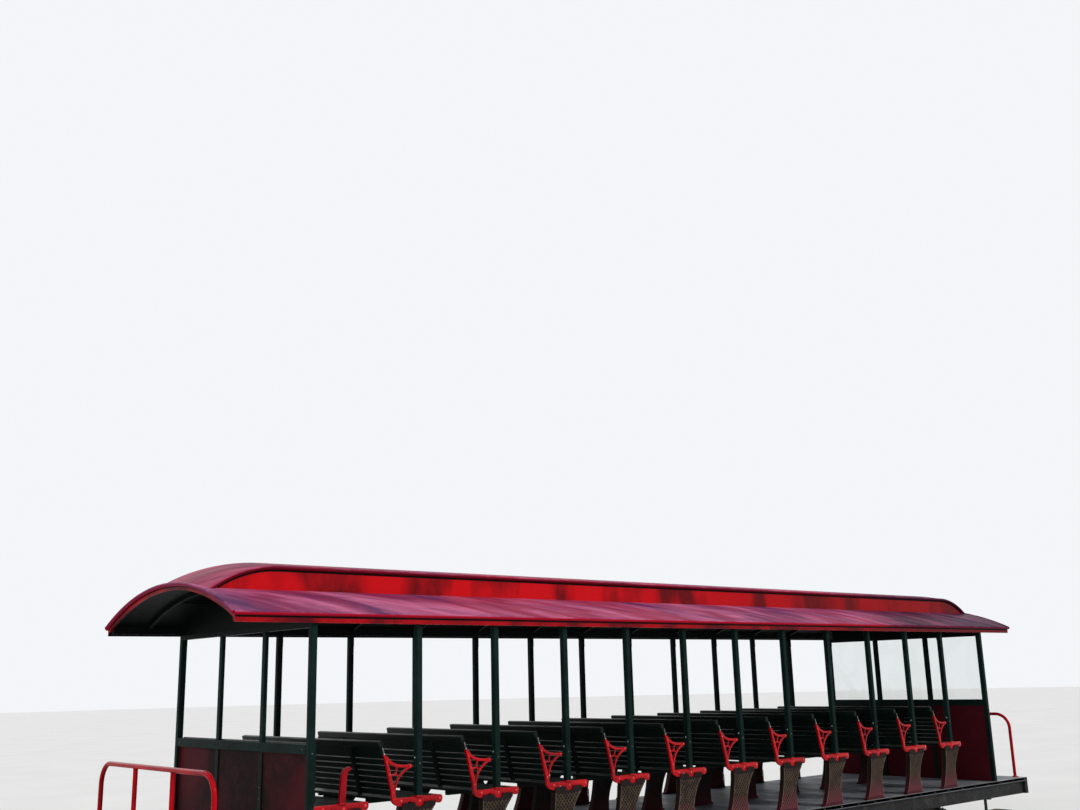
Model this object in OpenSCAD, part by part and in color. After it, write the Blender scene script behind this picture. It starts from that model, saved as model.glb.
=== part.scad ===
// Open-sided passenger coach of a narrow-gauge park railway.
// +X is forward (the way the benches face), +Y is the coach's left, +Z is up.
// The origin is below the middle of the coach, at the lowest point of the wheel flanges.
// Heights named "above the floor" count from floor_z.

/* [Body] */
// Distance from one bench to the next
row_pitch = 762; // [720:1:800]
// Number of bench rows
bench_rows = 12; // [8:2:14]
// Distance from the last post of a side to the corner post
end_bay = 928; // [860:1:1000]
// Distance between the two lines of posts
post_line_w = 2251; // [2150:1:2350]
// Side of a square post
post_size = 51; // [44:1:60]
// Radius on the corners of a post
post_round = 8; // [4:1:12]
// Height of the floor's top above the wheel flanges
floor_z = 680; // [660:1:760]
// Thickness of the floor
floor_t = 38; // [24:1:50]
// How far the floor reaches past the posts' outer faces
floor_ledge = 20; // [8:1:40]
// Length of a platform, from the corner post's centre to the floor's end
platform_l = 722; // [690:1:800]
// Top of the posts above the floor
post_top = 1800; // [1740:1:1830]

/* [Roof] */
// How far the eaves stand out past the middle of the posts
eave_overhang = 69.5; // [60:0.5:110]
// How far the roof reaches past the corner posts
roof_overhang = 659; // [560:1:720]
// Rise of the end arch over its width
arch_rise = 275; // [240:1:310]
// Crown of the lower roof above the floor
roof_crown = 2134; // [2110:1:2180]
// Thickness of the roof boards
roof_t = 22; // [16:1:30]
// Radius of the rounded rim
rim_r = 16; // [12:1:20]
// Depth of the side fascias from the roof's upper face
fascia_drop = 76; // [60:1:90]
// Depth of the end fascias from the roof's upper face
arch_drop = 52; // [44:1:66]
// Thickness of the fascia
fascia_t = 18; // [12:1:24]
// Setback of the fascia behind the roof's edge
fascia_setback = 12; // [6:1:20]
// Depth of a roof bow
bow_depth = 40; // [30:1:60]
// Thickness of a roof bow
bow_t = 32; // [24:1:45]
// Width of the wall plate on the posts
cantrail_w = 45; // [36:1:50]
// Half of the width over the clerestory walls
clerestory_half = 630; // [560:1:700]
// Thickness of a clerestory wall
clerestory_t = 18; // [14:1:24]
// Height of the upper deck's edge above the floor
upper_rim = 2240; // [2220:1:2270]
// How far the upper deck's edge stands past its wall
upper_lip = 10; // [6:1:20]
// How far short of the roof's end the upper deck starts to bend down
duckbill_l = 627; // [580:1:680]
// Radius of the upper deck's downward bend
duckbill_r = 950; // [860:10:1050]

/* [End walls] */
// Height of the middle rail's top above the floor
mid_rail_top = 932; // [900:1:950]
// Depth of the middle rail
mid_rail_h = 68; // [60:1:90]
// Thickness of the middle rail
mid_rail_t = 20; // [16:1:24]
// Depth of the front windows' bottom rails, above the middle rail
front_sill_h = 32; // [20:1:50]
// Thickness of the front windows' bottom rails
front_sill_t = 26; // [18:1:30]
// Height of the windows' top above the floor
window_top = 1755; // [1700:1:1780]
// Depth of the beam over the windows
header_beam_h = 40; // [30:1:60]
// Thickness of the boards that close the arch
tympanum_t = 16; // [12:1:22]
// Thickness of the lower panels
end_panel_t = 12; // [8:1:18]
// Thickness of the window glass
glass_t = 6; // [5:1:10]

/* [Guard rails] */
// Diameter of the guard rail's tube
guard_tube_d = 38; // [32:1:44]
// Height of the guard rail's top above the floor
guard_top = 790; // [740:1:850]
// Width over the guard rail's tubes
guard_w = 2120; // [1980:1:2180]
// Radius of the guard rail's bends
guard_bend_r = 170; // [120:5:220]
// Distance from the floor's end to the guard rail's centre
guard_inset = 46; // [42:1:60]
// Diameter of the guard rail's inner posts
guard_post_d = 36; // [30:1:36]
// Diameter of the guard rail's foot
guard_foot_d = 76; // [64:1:84]
// Thickness of the guard rail's foot
guard_foot_t = 8; // [6:1:12]

/* [Benches] */
// Reach of the bench rail behind the post
rail_rear = 238; // [225:1:245]
// Reach of the bench rail in front of the post
rail_front = 222; // [205:1:235]
// Height of the bench rail's top above the floor
rail_top = 508; // [480:1:540]
// Depth of the bench rail at its thin places
rail_h = 40; // [34:1:46]
// Thickness of the rail and bracket castings
casting_t = 24; // [18:1:30]
// Thickness of the leg casting
leg_t = 45; // [36:1:60]
// Height of the pad that the post stands on
pad_h = 8; // [5:1:14]
// Height of the back bracket's tip above the floor
bracket_top = 867; // [840:1:900]
// Lean of the back, as millimetres back over 100 up
back_lean = 26; // [22:1:30]
// Thickness of a slat
slat_t = 22; // [18:1:28]
// Number of slats in the seat
seat_slats = 5; // [4:1:6]
// Number of narrow slats in the back
back_slats = 6; // [5:1:7]
// Height of one narrow back slat
back_slat_h = 40; // [34:1:44]
// Space between two slats
slat_gap = 6; // [4:1:8]
// Height of the wide upper board of the back
upper_board_h = 84; // [70:1:90]
// Height of the cap rail
cap_h = 46; // [36:1:54]
// Thickness of the cap rail
cap_t = 36; // [30:1:44]
// Diameter of the grab bar at the rearmost bench
grab_d = 38; // [32:1:42]
// Height of the grab bar's top above the floor
grab_top = 765; // [720:1:800]

/* [Underframe] */
// Depth of the sills
sill_h = 150; // [120:1:155]
// Width of the side sill's flanges
sill_flange = 75; // [60:1:90]
// Thickness of the sills' plates
sill_t = 10; // [8:1:14]
// Half of the centre sill's width
centre_half = 150; // [130:1:170]
// Length of a body bolster along the coach
body_bolster_l = 300; // [260:1:340]
// Thickness of the end beams
end_beam_t = 60; // [45:1:80]
// Depth of the cross bearers
bearer_h = 90; // [80:1:110]
// Width of the cross bearers
bearer_w = 60; // [45:1:80]
// Height of the footboard's top above the wheel flanges
footboard_z = 360; // [320:1:400]
// Thickness of the footboards
footboard_t = 32; // [24:1:40]
// Width of the footboards
footboard_w = 220; // [190:1:240]
// Reach of the footboards past the floor's edge
footboard_reach = 140; // [110:1:160]
// Thickness of the footboards' brackets
step_bar_t = 12; // [8:1:16]
// Width of the footboards' brackets
step_bar_w = 50; // [40:1:60]
// Radius of the air reservoir
reservoir_r = 130; // [110:1:145]
// Length of the air reservoir
reservoir_l = 1000; // [940:10:1100]

/* [Couplers] */
// Height of the coupler's centre above the wheel flanges
coupler_z = 430; // [415:1:435]
// Radius of the coupler's pin hole
coupler_pin_r = 17; // [14:1:20]
// Height of the coupler's head
coupler_head_h = 150; // [130:1:160]
// Width of the coupler's head
coupler_head_w = 170; // [150:1:190]
// Length of the coupler's head
coupler_head_l = 160; // [140:1:180]
// Height of the coupler's mouth
coupler_mouth_h = 40; // [34:1:50]
// Distance from the floor's end to the coupler's face
coupler_reach = 180; // [170:1:220]

/* [Trucks] */
// Distance between the coach's two truck centres
truck_spacing = 7500; // [7000:10:7800]
// Distance between a truck's two axles
wheelbase = 1067; // [1040:1:1120]
// Radius of the wheel's tread
tread_r = 210; // [200:1:214]
// Height of the wheel's flange
flange_h = 25; // [20:1:28]
// Distance between the two wheels' inner faces
back_to_back = 860; // [850:1:880]
// Width of a wheel's rim
wheel_w = 110; // [100:1:116]
// Radius of the axle between the wheels
axle_r = 52; // [45:1:58]
// Radius of the axle's journals
journal_r = 38; // [34:1:42]
// Distance from the coach's middle to the side frame's middle
frame_y = 625; // [618:1:650]
// Thickness of an arch bar, seen from the side
arch_bar_h = 26; // [22:1:30]
// Width of an arch bar, across the truck
arch_bar_w = 60; // [50:1:70]
// Half of the truck bolster's width
bolster_half = 140; // [125:1:145]
// Radius of the centre plates
centre_plate_r = 150; // [130:1:160]
// Radius of the centre pin
centre_pin_r = 22; // [18:1:28]
// Length of the centre pin below the sills
centre_pin_l = 80; // [70:1:90]
// Height of a brake shoe
shoe_h = 180; // [150:1:200]
// Width of a brake shoe
shoe_w = 64; // [54:1:74]
// Depth of a brake beam
brake_beam_h = 44; // [36:1:50]
// Thickness of a brake beam
brake_beam_t = 28; // [22:1:32]
// Distance from the wheel's flange to the middle of the brake beam
brake_reach = 32; // [26:1:38]
// Outer radius of a truck spring
spring_r = 50; // [44:1:54]

/* [Fits] */
// Running clearance of journals, pins and centre plates
run_gap = 0.3; // [0.2:0.05:0.5]
// Gap between a brake shoe and its wheel
shoe_gap = 8; // [6:1:12]

/* [Hidden] */
$fn = 48;
arc_fn = 720; // facets of the roof's large arcs
bend_fn = 180;

corner_x = (bench_rows / 2 - 1) * row_pitch + end_bay;
deck_half_l = corner_x + platform_l;
roof_half_l = corner_x + roof_overhang;
post_y = post_line_w / 2;
roof_half_w = post_y + eave_overhang;
post_in = post_y - post_size / 2;
post_out = post_y + post_size / 2;
deck_half_w = post_out + floor_ledge;
floor_under = floor_z - floor_t;
sill_web_y = deck_half_w - 35; // outer face of the side sill
sill_in = sill_web_y - sill_flange;
sill_bottom = floor_under - sill_h;
post_foot = floor_z + rail_top + pad_h;

// The roof's cross-section is one arc, the same for both decks
roof_r = (pow(roof_half_w, 2) + pow(arch_rise, 2)) / (2 * arch_rise);
eave_z = floor_z + roof_crown - arch_rise;
roof_centre_z = floor_z + roof_crown - roof_r;
upper_half = clerestory_half + upper_lip;
upper_sag = roof_r - sqrt(pow(roof_r, 2) - pow(upper_half, 2));
upper_rim_z = floor_z + upper_rim;
bend_x = roof_half_l - duckbill_l;
duckbill_angle = asin(duckbill_l / duckbill_r);
fascia_half_w = roof_half_w - fascia_setback;
fascia_x = roof_half_l - fascia_setback;
well_half = clerestory_half - clerestory_t - 20;
well_half_l = bend_x - 120;

third_y = post_line_w / 6;
panel_half = post_in - third_y - post_size / 2;

// One bench, seen from the side: X from its post, Z above the floor
lobes = [ // x, radius
    [-179, 34],
    [4, 42],
    [188, 34]
];
leg_rear = [[-158, 400], [-184, 239], [-275, 0]]; // the leg's two concave edges, top to foot
leg_front = [[148, 440], [55, 313], [8, 150]];
leg_ankle = 16; // the front edge's step below its curve
leg_toe = 10; // reach of the foot plate past the leg
leg_foot_t = 18;
back_foot = [-225, rail_top];
bracket_r = 19; // half the width of the leaning bar at its foot
bracket_tip_r = 17;
arm_tip = [-70, 747]; // middle of the arm's eye, by the post
arm_w = 26;
arm_eye_r = 15;
arm_bend = [-200, 744];
arm_root = [-300, 800]; // where the arm leaves the leaning bar
brace_w = 22; // the web's curved brace, from the bar's foot to the arm
brace_foot = [-222, 530];
brace_bend = [-183, 635];
web_w = 21; // the web's three spokes
web_hub = [-196, 668];
web_ends = [[-185, 742], [-262, 652], [-172, 652]];
casting_in = post_y - casting_t / 2;
seat_top = rail_top - 4;
seat_rear = -rail_rear + 34;
slat_w = (rail_front - seat_rear - (seat_slats - 1) * slat_gap) / seat_slats;
back_angle = atan(back_lean / 100);
back_start = 24; // from the bench rail's top to the lowest slat
upper_board_start = back_start + back_slats * (back_slat_h + slat_gap);
back_h = upper_board_start + upper_board_h;
bearer_ys = [-post_y * 0.62, post_y * 0.62];
first_bench_x = -corner_x + post_size / 2 + rail_rear;
bench_xs = [for (k = [1 : bench_rows - 1]) (k - bench_rows / 2) * row_pitch];
post_xs = concat([-corner_x], bench_xs, [corner_x]);

truck_x = truck_spacing / 2;
wheel_r = tread_r + flange_h;
axle_z = wheel_r;
centre_plate_h = 22;
bowl_top = sill_bottom - centre_plate_h - run_gap;
box_h = 150; // journal box
box_w = 130;
box_top = axle_z + box_h / 2;
box_bottom = axle_z - box_h / 2;
plank_z = 204; // spring plank's lower face
plank_t = 26;
spring_top = 300;
bolster_end_top = 380;
column_x = bolster_half + 10;

// Extrusion along the coach: the outline is drawn as (Y, Z)
module along_x(x0, x1) {
    translate([x0, 0, 0]) rotate([90, 0, 90]) linear_extrude(x1 - x0) children();
}

// Extrusion across the coach: the outline is drawn as (X, Z)
module along_y(y0, y1) {
    translate([0, y1, 0]) rotate([90, 0, 0]) linear_extrude(y1 - y0) children();
}

module both_sides() {
    children();
    mirror([0, 1, 0]) children();
}

module both_ends() {
    children();
    mirror([1, 0, 0]) children();
}

// Rectangle with rounded corners, centred on the origin
module rounded_square(w, h, r) {
    square([w, h - 2 * r], center = true);
    square([w - 2 * r, h], center = true);
    for (x = [-1, 1], y = [-1, 1])
        translate([x * (w / 2 - r), y * (h / 2 - r)]) circle(r);
}

// Straight bar with round ends of radius ra and rb
module bar2d(a, b, ra, rb) {
    heading = atan2(b[1] - a[1], b[0] - a[0]);
    lean = acos((ra - rb) / norm(b - a));
    translate(a) circle(ra);
    translate(b) circle(rb);
    polygon([for (q = [[a, ra, 1], [b, rb, 1], [b, rb, -1], [a, ra, -1]])
        q[0] + q[1] * [cos(heading + q[2] * lean), sin(heading + q[2] * lean)]]);
}

// Centre of the circle through three points
function centre3(a, b, c) =
    let (d = 2 * (a[0] * (b[1] - c[1]) + b[0] * (c[1] - a[1]) + c[0] * (a[1] - b[1])))
    [(a * a * (b[1] - c[1]) + b * b * (c[1] - a[1]) + c * c * (a[1] - b[1])) / d,
     (a * a * (c[0] - b[0]) + b * b * (a[0] - c[0]) + c * c * (b[0] - a[0])) / d];

// Curved bar of width w, whose middle line is the arc from a through b to c
module arc_band2d(a, b, c, w) {
    o = centre3(a, b, c);
    r = norm(a - o);
    intersection() {
        translate(o) difference() {
            circle(r + w / 2, $fn = bend_fn);
            circle(r - w / 2, $fn = bend_fn);
        }
        polygon([o, o + 2 * (a - o), o + 4 * (b - o), o + 2 * (c - o)]);
    }
}

// The roof's arc, lowered by cut
module roof_disc(cut) {
    translate([0, roof_centre_z]) circle(roof_r - cut, $fn = arc_fn);
}

module roof_band(outer_cut, inner_cut, half_w) {
    intersection() {
        difference() {
            roof_disc(outer_cut);
            roof_disc(inner_cut);
        }
        translate([-half_w, floor_z]) square([2 * half_w, roof_crown + rim_r]);
    }
}

// Floor and underframe

module floor_deck() {
    color("#6b7074")
    translate([-deck_half_l, -deck_half_w, floor_under])
        cube([2 * deck_half_l, 2 * deck_half_w, floor_t]);
}

module centre_sill() {
    sill_half_l = deck_half_l - end_beam_t;
    color("#22282a") {
        along_x(-sill_half_l, sill_half_l) {
            translate([-centre_half, floor_under - sill_t]) square([2 * centre_half, sill_t]);
            for (s = [-1, 1]) {
                translate([s * centre_half * 2 / 3 - sill_t / 2, sill_bottom]) square([sill_t, sill_h]);
                translate([s * (centre_half * 2 / 3) - centre_half / 3, sill_bottom])
                    square([centre_half * 2 / 3, sill_t]);
            }
        }
        for (x = [-truck_x, truck_x]) translate([x, 0, 0]) {
            translate([-centre_half, -centre_half, sill_bottom])
                cube([2 * centre_half, 2 * centre_half, sill_t]);
            translate([0, 0, sill_bottom - centre_plate_h]) cylinder(r = centre_plate_r, h = centre_plate_h);
            translate([0, 0, sill_bottom - centre_pin_l]) cylinder(r = centre_pin_r, h = centre_pin_l);
        }
    }
}

module side_sills() {
    sill_half_l = deck_half_l - end_beam_t;
    color("#22282a")
    both_sides() along_x(-sill_half_l, sill_half_l) {
        translate([sill_web_y - sill_t, sill_bottom]) square([sill_t, sill_h]);
        for (z = [sill_bottom, floor_under - sill_t])
            translate([sill_in, z]) square([sill_flange, sill_t]);
    }
}

module end_beams() {
    color("#22282a")
    both_ends() translate([deck_half_l - end_beam_t, -deck_half_w, sill_bottom])
        cube([end_beam_t, 2 * deck_half_w, sill_h]);
}

module body_bolsters() {
    color("#22282a")
    both_ends() both_sides() along_x(truck_x - body_bolster_l / 2, truck_x + body_bolster_l / 2)
        polygon([
            [centre_half, sill_bottom], [sill_in * 0.6, sill_bottom], [sill_in, sill_bottom + sill_h / 3],
            [sill_in, floor_under], [centre_half, floor_under]
        ]);
}

module cross_bearers() {
    color("#22282a")
    both_sides() for (i = [-3 : 3])
        translate([i * row_pitch - bearer_w / 2, centre_half, floor_under - bearer_h])
            cube([bearer_w, sill_in - centre_half, bearer_h]);
}

module footboards() {
    color("#5d5046")
    both_sides() along_x(-corner_x, corner_x)
        translate([deck_half_w + footboard_reach - footboard_w / 2, footboard_z - footboard_t / 2])
            rounded_square(footboard_w, footboard_t, 10);
}

module footboard_brackets() {
    under = footboard_z - footboard_t;
    outer = deck_half_w + footboard_reach - 20;
    half = step_bar_w / 2;
    color("#22282a")
    both_sides() for (i = [-3 : 3]) along_x(i * 2 * row_pitch - half, i * 2 * row_pitch + half) {
        translate([sill_in, under - step_bar_t]) square([outer - sill_in, step_bar_t]);
        translate([sill_in, under - step_bar_t]) square([step_bar_t, sill_bottom - under + step_bar_t]);
        translate([sill_in, sill_bottom - step_bar_t]) square([sill_flange, step_bar_t]);
    }
}

module air_reservoir() {
    strap_t = 6;
    strap_w = 40;
    lug_w = 60;
    centre_z = floor_under - bearer_h - reservoir_r - strap_t - 2;
    dish = (2 - sqrt(3)) * reservoir_r;
    body_half = reservoir_l / 2 - dish;
    color("#22282a")
    translate([-row_pitch / 2, (centre_half + post_y) / 2, centre_z]) {
        rotate([0, 90, 0]) rotate_extrude() {
            translate([0, -body_half]) square([reservoir_r, 2 * body_half]);
            for (s = [0, 1]) mirror([0, s]) intersection() {
                translate([0, body_half + dish - 2 * reservoir_r]) circle(2 * reservoir_r, $fn = bend_fn);
                translate([0, body_half - 1]) square([reservoir_r, dish + 2]);
            }
        }
        for (x = [-row_pitch / 2, row_pitch / 2]) translate([x, 0, 0]) {
            rotate([0, 90, 0]) cylinder(r = reservoir_r + strap_t, h = strap_w, center = true);
            translate([-strap_w / 2, -lug_w / 2, reservoir_r / 2])
                cube([strap_w, lug_w, reservoir_r / 2 + strap_t + 2]);
        }
    }
}

module couplers() {
    face_x = deck_half_l + coupler_reach;
    pin_x = face_x - coupler_head_l * 0.4;
    shank_w = 90;
    shank_h = 70;
    pad_w = 160;
    pad_l = 340;
    pad_x = deck_half_l - end_beam_t - pad_l - 20;
    jaw_w = coupler_head_w - 56;
    color("#2b2523")
    both_ends() difference() {
        union() {
            translate([face_x - coupler_head_l / 2, 0, coupler_z - coupler_head_h / 2])
                linear_extrude(coupler_head_h) rounded_square(coupler_head_l, coupler_head_w, 30);
            translate([pad_x, -shank_w / 2, coupler_z - shank_h / 2])
                cube([face_x - coupler_head_l / 2 - pad_x, shank_w, shank_h]);
            translate([pad_x, -pad_w / 2, coupler_z + 20])
                cube([pad_l, pad_w, sill_bottom - coupler_z - 20]);
        }
        translate([pin_x, 0, coupler_z - coupler_head_h])
            cylinder(r = coupler_pin_r, h = 2 * coupler_head_h);
        translate([pin_x - coupler_pin_r - 13, -jaw_w / 2, coupler_z - coupler_mouth_h / 2])
            cube([coupler_head_l, jaw_w, coupler_mouth_h]);
    }
}

// End platforms

module guard_rails() {
    tube_r = guard_tube_d / 2;
    top_z = floor_z + guard_top - tube_r;
    leg_y = guard_w / 2 - tube_r;
    x = deck_half_l - guard_inset;
    color("#c3141c")
    both_ends() translate([x, 0, 0]) {
        translate([0, -leg_y + guard_bend_r, top_z]) rotate([-90, 0, 0])
            cylinder(r = tube_r, h = 2 * (leg_y - guard_bend_r));
        both_sides() {
            translate([0, leg_y - guard_bend_r, top_z - guard_bend_r]) rotate([90, 0, 90])
                rotate_extrude(angle = 90, $fn = bend_fn) translate([guard_bend_r, 0]) circle(tube_r);
            translate([0, leg_y, floor_z]) cylinder(r = tube_r, h = top_z - guard_bend_r - floor_z);
            translate([0, leg_y / 3, floor_z]) cylinder(d = guard_post_d, h = top_z - floor_z);
            for (y = [leg_y, leg_y / 3])
                translate([0, y, floor_z]) cylinder(d = guard_foot_d, h = guard_foot_t);
        }
    }
}

// Posts, wall plates and end walls

module side_posts() {
    color("#1c3a32")
    both_sides() for (x = post_xs) {
        foot = abs(x) == corner_x ? floor_z : post_foot;
        translate([x, post_y, foot]) linear_extrude(floor_z + post_top - foot)
            rounded_square(post_size, post_size, post_round);
    }
}

module cantrails() {
    color("#16231f")
    both_sides() along_x(-fascia_x + fascia_t, fascia_x - fascia_t) intersection() {
        translate([post_y - cantrail_w / 2, floor_z + post_top]) square([cantrail_w, arch_rise]);
        roof_disc(roof_t);
    }
}

module end_posts() {
    color("#1c3a32")
    both_ends() both_sides() translate([corner_x - mid_rail_t / 2, third_y, floor_z])
        linear_extrude(window_top) rounded_square(post_size - mid_rail_t, post_size, 4);
}

// Middle rails of both walls, and the bottom rails of the front windows
module end_mid_rails() {
    rail_in = corner_x + post_size / 2 - mid_rail_t;
    color("#1c3a32") {
        both_ends() translate([rail_in, -post_in, floor_z + mid_rail_top - mid_rail_h])
            cube([mid_rail_t, 2 * post_in, mid_rail_h]);
        for (y = [-1, 0, 1]) {
            half = y == 0 ? third_y - post_size / 2 : panel_half / 2;
            mid = y * (third_y + post_size / 2 + panel_half / 2);
            translate([rail_in - front_sill_t, mid - half, floor_z + mid_rail_top - mid_rail_h / 2])
                cube([front_sill_t, 2 * half, mid_rail_h / 2 + front_sill_h]);
        }
    }
}

module end_headers() {
    color("#16231f")
    both_ends() {
        along_x(corner_x - post_size / 2, corner_x + post_size / 2)
            translate([-post_in, floor_z + window_top]) square([2 * post_in, header_beam_h]);
        along_x(corner_x - tympanum_t / 2, corner_x + tympanum_t / 2) intersection() {
            translate([-post_in + cantrail_w, floor_z + window_top + header_beam_h])
                square([2 * (post_in - cantrail_w), roof_crown - window_top]);
            roof_disc(roof_t);
        }
    }
}

module end_panels() {
    color("#432226")
    both_ends() for (y = [-2 * third_y, 0, 2 * third_y]) {
        half = y == 0 ? third_y - post_size / 2 : panel_half / 2;
        mid = y == 0 ? 0 : sign(y) * (third_y + post_size / 2 + panel_half / 2);
        translate([corner_x - end_panel_t / 2 - 8, mid - half, floor_z])
            cube([end_panel_t, 2 * half, mid_rail_top - mid_rail_h / 2]);
    }
}

module front_window_glass() {
    color("#9aa4a8", 0.35)
    for (y = [-1, 0, 1]) {
        half = y == 0 ? third_y - post_size / 2 : panel_half / 2;
        mid = y * (third_y + post_size / 2 + panel_half / 2);
        translate([corner_x - glass_t / 2 - 8, mid - half, floor_z + mid_rail_top + front_sill_h])
            cube([glass_t, 2 * half, window_top - mid_rail_top - front_sill_h]);
    }
}

// Roof

// Rounded rim of the left eave, drawn as (Y, Z)
module eave_rim2d() {
    translate([roof_half_w - 2, eave_z - rim_r / 2 - 2]) circle(rim_r);
}

module roof_lower_deck() {
    eave_angle = asin(roof_half_w / roof_r);
    color("#b3141f") {
        difference() {
            along_x(-roof_half_l, roof_half_l) roof_band(0, roof_t, roof_half_w);
            translate([-well_half_l, -well_half, floor_z + post_top])
                cube([2 * well_half_l, 2 * well_half, roof_crown - post_top + roof_t]);
        }
        both_sides() along_x(-roof_half_l, roof_half_l) eave_rim2d();
        both_ends() translate([roof_half_l, 0, roof_centre_z]) rotate([90, 0, 90])
            rotate([0, 0, 90 - eave_angle]) rotate_extrude(angle = 2 * eave_angle, $fn = arc_fn)
                translate([roof_r - rim_r / 2, 0]) circle(rim_r);
    }
}

// Cross-section of the upper deck with its rounded edges, drawn as (Y, height over its edge)
module upper_board2d() {
    intersection() {
        translate([0, upper_sag - roof_r]) difference() {
            circle(roof_r, $fn = arc_fn);
            circle(roof_r - roof_t, $fn = arc_fn);
        }
        translate([-upper_half, -100]) square([2 * upper_half, 300]);
    }
    for (s = [-1, 1]) translate([s * upper_half, -rim_r / 2]) circle(rim_r);
}

module roof_upper_deck() {
    color("#b3141f")
    along_x(-bend_x, bend_x) translate([0, upper_rim_z]) upper_board2d();
}

// The bent ends of the upper deck, which run out on the lower roof
module duckbill_hoods() {
    color("#b3141f")
    both_ends() difference() {
        translate([bend_x, 0, upper_rim_z - duckbill_r]) rotate([90, 0, 90]) rotate([90, 0, 90])
            rotate_extrude(angle = duckbill_angle, $fn = bend_fn)
                translate([duckbill_r, 0]) mirror([1, -1, 0]) upper_board2d();
        along_x(0, roof_half_l + duckbill_l) roof_disc(0);
    }
}

module clerestory_walls() {
    under = roof_r - upper_sag - sqrt(pow(roof_r - roof_t, 2) - pow(clerestory_half, 2)) + run_gap;
    color("#c0141f")
    both_sides() intersection() {
        along_x(-roof_half_l, roof_half_l) difference() {
            translate([clerestory_half - clerestory_t, floor_z + post_top])
                square([clerestory_t, upper_rim]);
            roof_disc(0);
        }
        along_y(0, roof_half_w) {
            translate([-bend_x, floor_z]) square([2 * bend_x, upper_rim - under]);
            both_ends() translate([bend_x, upper_rim_z - duckbill_r]) intersection() {
                circle(duckbill_r - under, $fn = arc_fn);
                translate([-1, 0]) square(2 * duckbill_r);
            }
        }
    }
}

module eave_fascias() {
    color("#c0141f")
    both_sides() along_x(-fascia_x, fascia_x) difference() {
        translate([fascia_half_w - fascia_t, eave_z - fascia_drop + 3]) square([fascia_t, fascia_drop]);
        difference() {
            translate([0, floor_z]) square([2 * roof_half_w, 2 * roof_crown]);
            roof_disc(roof_t);
        }
        eave_rim2d();
    }
}

module arch_fascias() {
    color("#b3141f")
    both_ends() along_x(fascia_x - fascia_t, fascia_x) difference() {
        roof_band(roof_t, arch_drop, fascia_half_w - fascia_t);
        for (s = [0, 1]) mirror([s, 0]) eave_rim2d();
    }
}

module roof_bows() {
    end_bow_x = (corner_x + roof_half_l) / 2;
    color("#16231f")
    for (x = concat([-end_bow_x], bench_xs, [end_bow_x]))
        along_x(x - bow_t / 2, x + bow_t / 2) roof_band(roof_t, roof_t + bow_depth, post_y - cantrail_w / 2);
}

// Benches

module at_benches(with_first) {
    for (x = with_first ? concat([first_bench_x], bench_xs) : bench_xs)
        translate([x, 0, floor_z]) children();
}

module bench_rail2d() {
    end_r = rail_h / 2;
    bar2d([-rail_rear + end_r, rail_top - end_r], [rail_front - end_r, rail_top - end_r], end_r, end_r);
    for (l = lobes) translate([l[0], rail_top - l[1]]) circle(l[1]);
}

module bench_leg2d() {
    rear_centre = centre3(leg_rear[0], leg_rear[1], leg_rear[2]);
    front_centre = centre3(leg_front[0], leg_front[1], leg_front[2]);
    shoulder = rail_top - rail_h / 2;
    ankle_x = leg_front[2][0] + leg_ankle;
    difference() {
        polygon([
            leg_rear[2], [ankle_x, 0], [ankle_x, leg_front[2][1]], leg_front[0],
            [leg_front[0][0], shoulder], [leg_rear[0][0], shoulder], leg_rear[0]
        ]);
        translate(front_centre) circle(norm(leg_front[0] - front_centre), $fn = bend_fn);
        translate(rear_centre) circle(norm(leg_rear[0] - rear_centre), $fn = bend_fn);
        bench_rail2d();
    }
    translate([leg_rear[2][0] - leg_toe, 0]) square([ankle_x - leg_rear[2][0] + 2 * leg_toe, leg_foot_t]);
}

module bench_rails() {
    color("#c3141c")
    at_benches(true) both_sides() {
        along_y(casting_in, casting_in + casting_t) bench_rail2d();
        translate([-post_size / 2 - 6, post_in, rail_top - 4]) cube([post_size + 12, post_size, pad_h + 4]);
    }
}

// The rearmost bench's leg, cut short at the end wall
module first_leg2d() {
    intersection() {
        bench_leg2d();
        translate([-rail_rear, 0]) square([2 * rail_rear, rail_top]);
    }
}

module at_first_bench() {
    translate([first_bench_x, 0, floor_z]) children();
}

module bench_legs() {
    color("#4a2e2c") {
        at_benches(false) both_sides() along_y(post_y - leg_t / 2, post_y + leg_t / 2) bench_leg2d();
        at_first_bench() both_sides() along_y(post_y - leg_t / 2, post_y + leg_t / 2) first_leg2d();
    }
}

// The flat bar on a centre leg, under the slats
module leg_bar2d() {
    translate([-rail_rear + 40, rail_top - rail_h - 2]) square([rail_rear + rail_front - 60, 14]);
}

module bench_centre_legs() {
    color("#4a2e2c") {
        at_benches(false) along_y(-leg_t / 2, leg_t / 2) {
            bench_leg2d();
            leg_bar2d();
        }
        at_first_bench() along_y(-leg_t / 2, leg_t / 2) {
            first_leg2d();
            leg_bar2d();
        }
    }
}

// Back bracket with its curved arm, drawn as (X, Z)
module bench_bracket2d() {
    bracket_h = bracket_top - rail_top;
    tip = back_foot + [-bracket_h * back_lean / 100, bracket_h - bracket_tip_r - 1];
    lug_w = arm_eye_r - 3;
    difference() {
        union() {
            bar2d(back_foot + [-3, 4], tip, bracket_r, bracket_tip_r);
            arc_band2d(arm_root, arm_bend, arm_tip, arm_w);
            arc_band2d(brace_foot, brace_bend, arm_tip, brace_w);
            for (end = web_ends) bar2d(end, web_hub, web_w / 2 - 0.5, web_w / 2 + 0.5);
            translate(arm_tip) circle(arm_eye_r);
            translate([arm_tip[0], arm_tip[1] - lug_w / 2]) square([-post_size / 2 - arm_tip[0], lug_w]);
        }
        translate([2 * back_foot[0], 0]) square([-2 * back_foot[0], rail_top]);
    }
}

module bench_brackets() {
    color("#c3141c")
    at_benches(false) both_sides() along_y(casting_in, casting_in + casting_t) bench_bracket2d();
}

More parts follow.
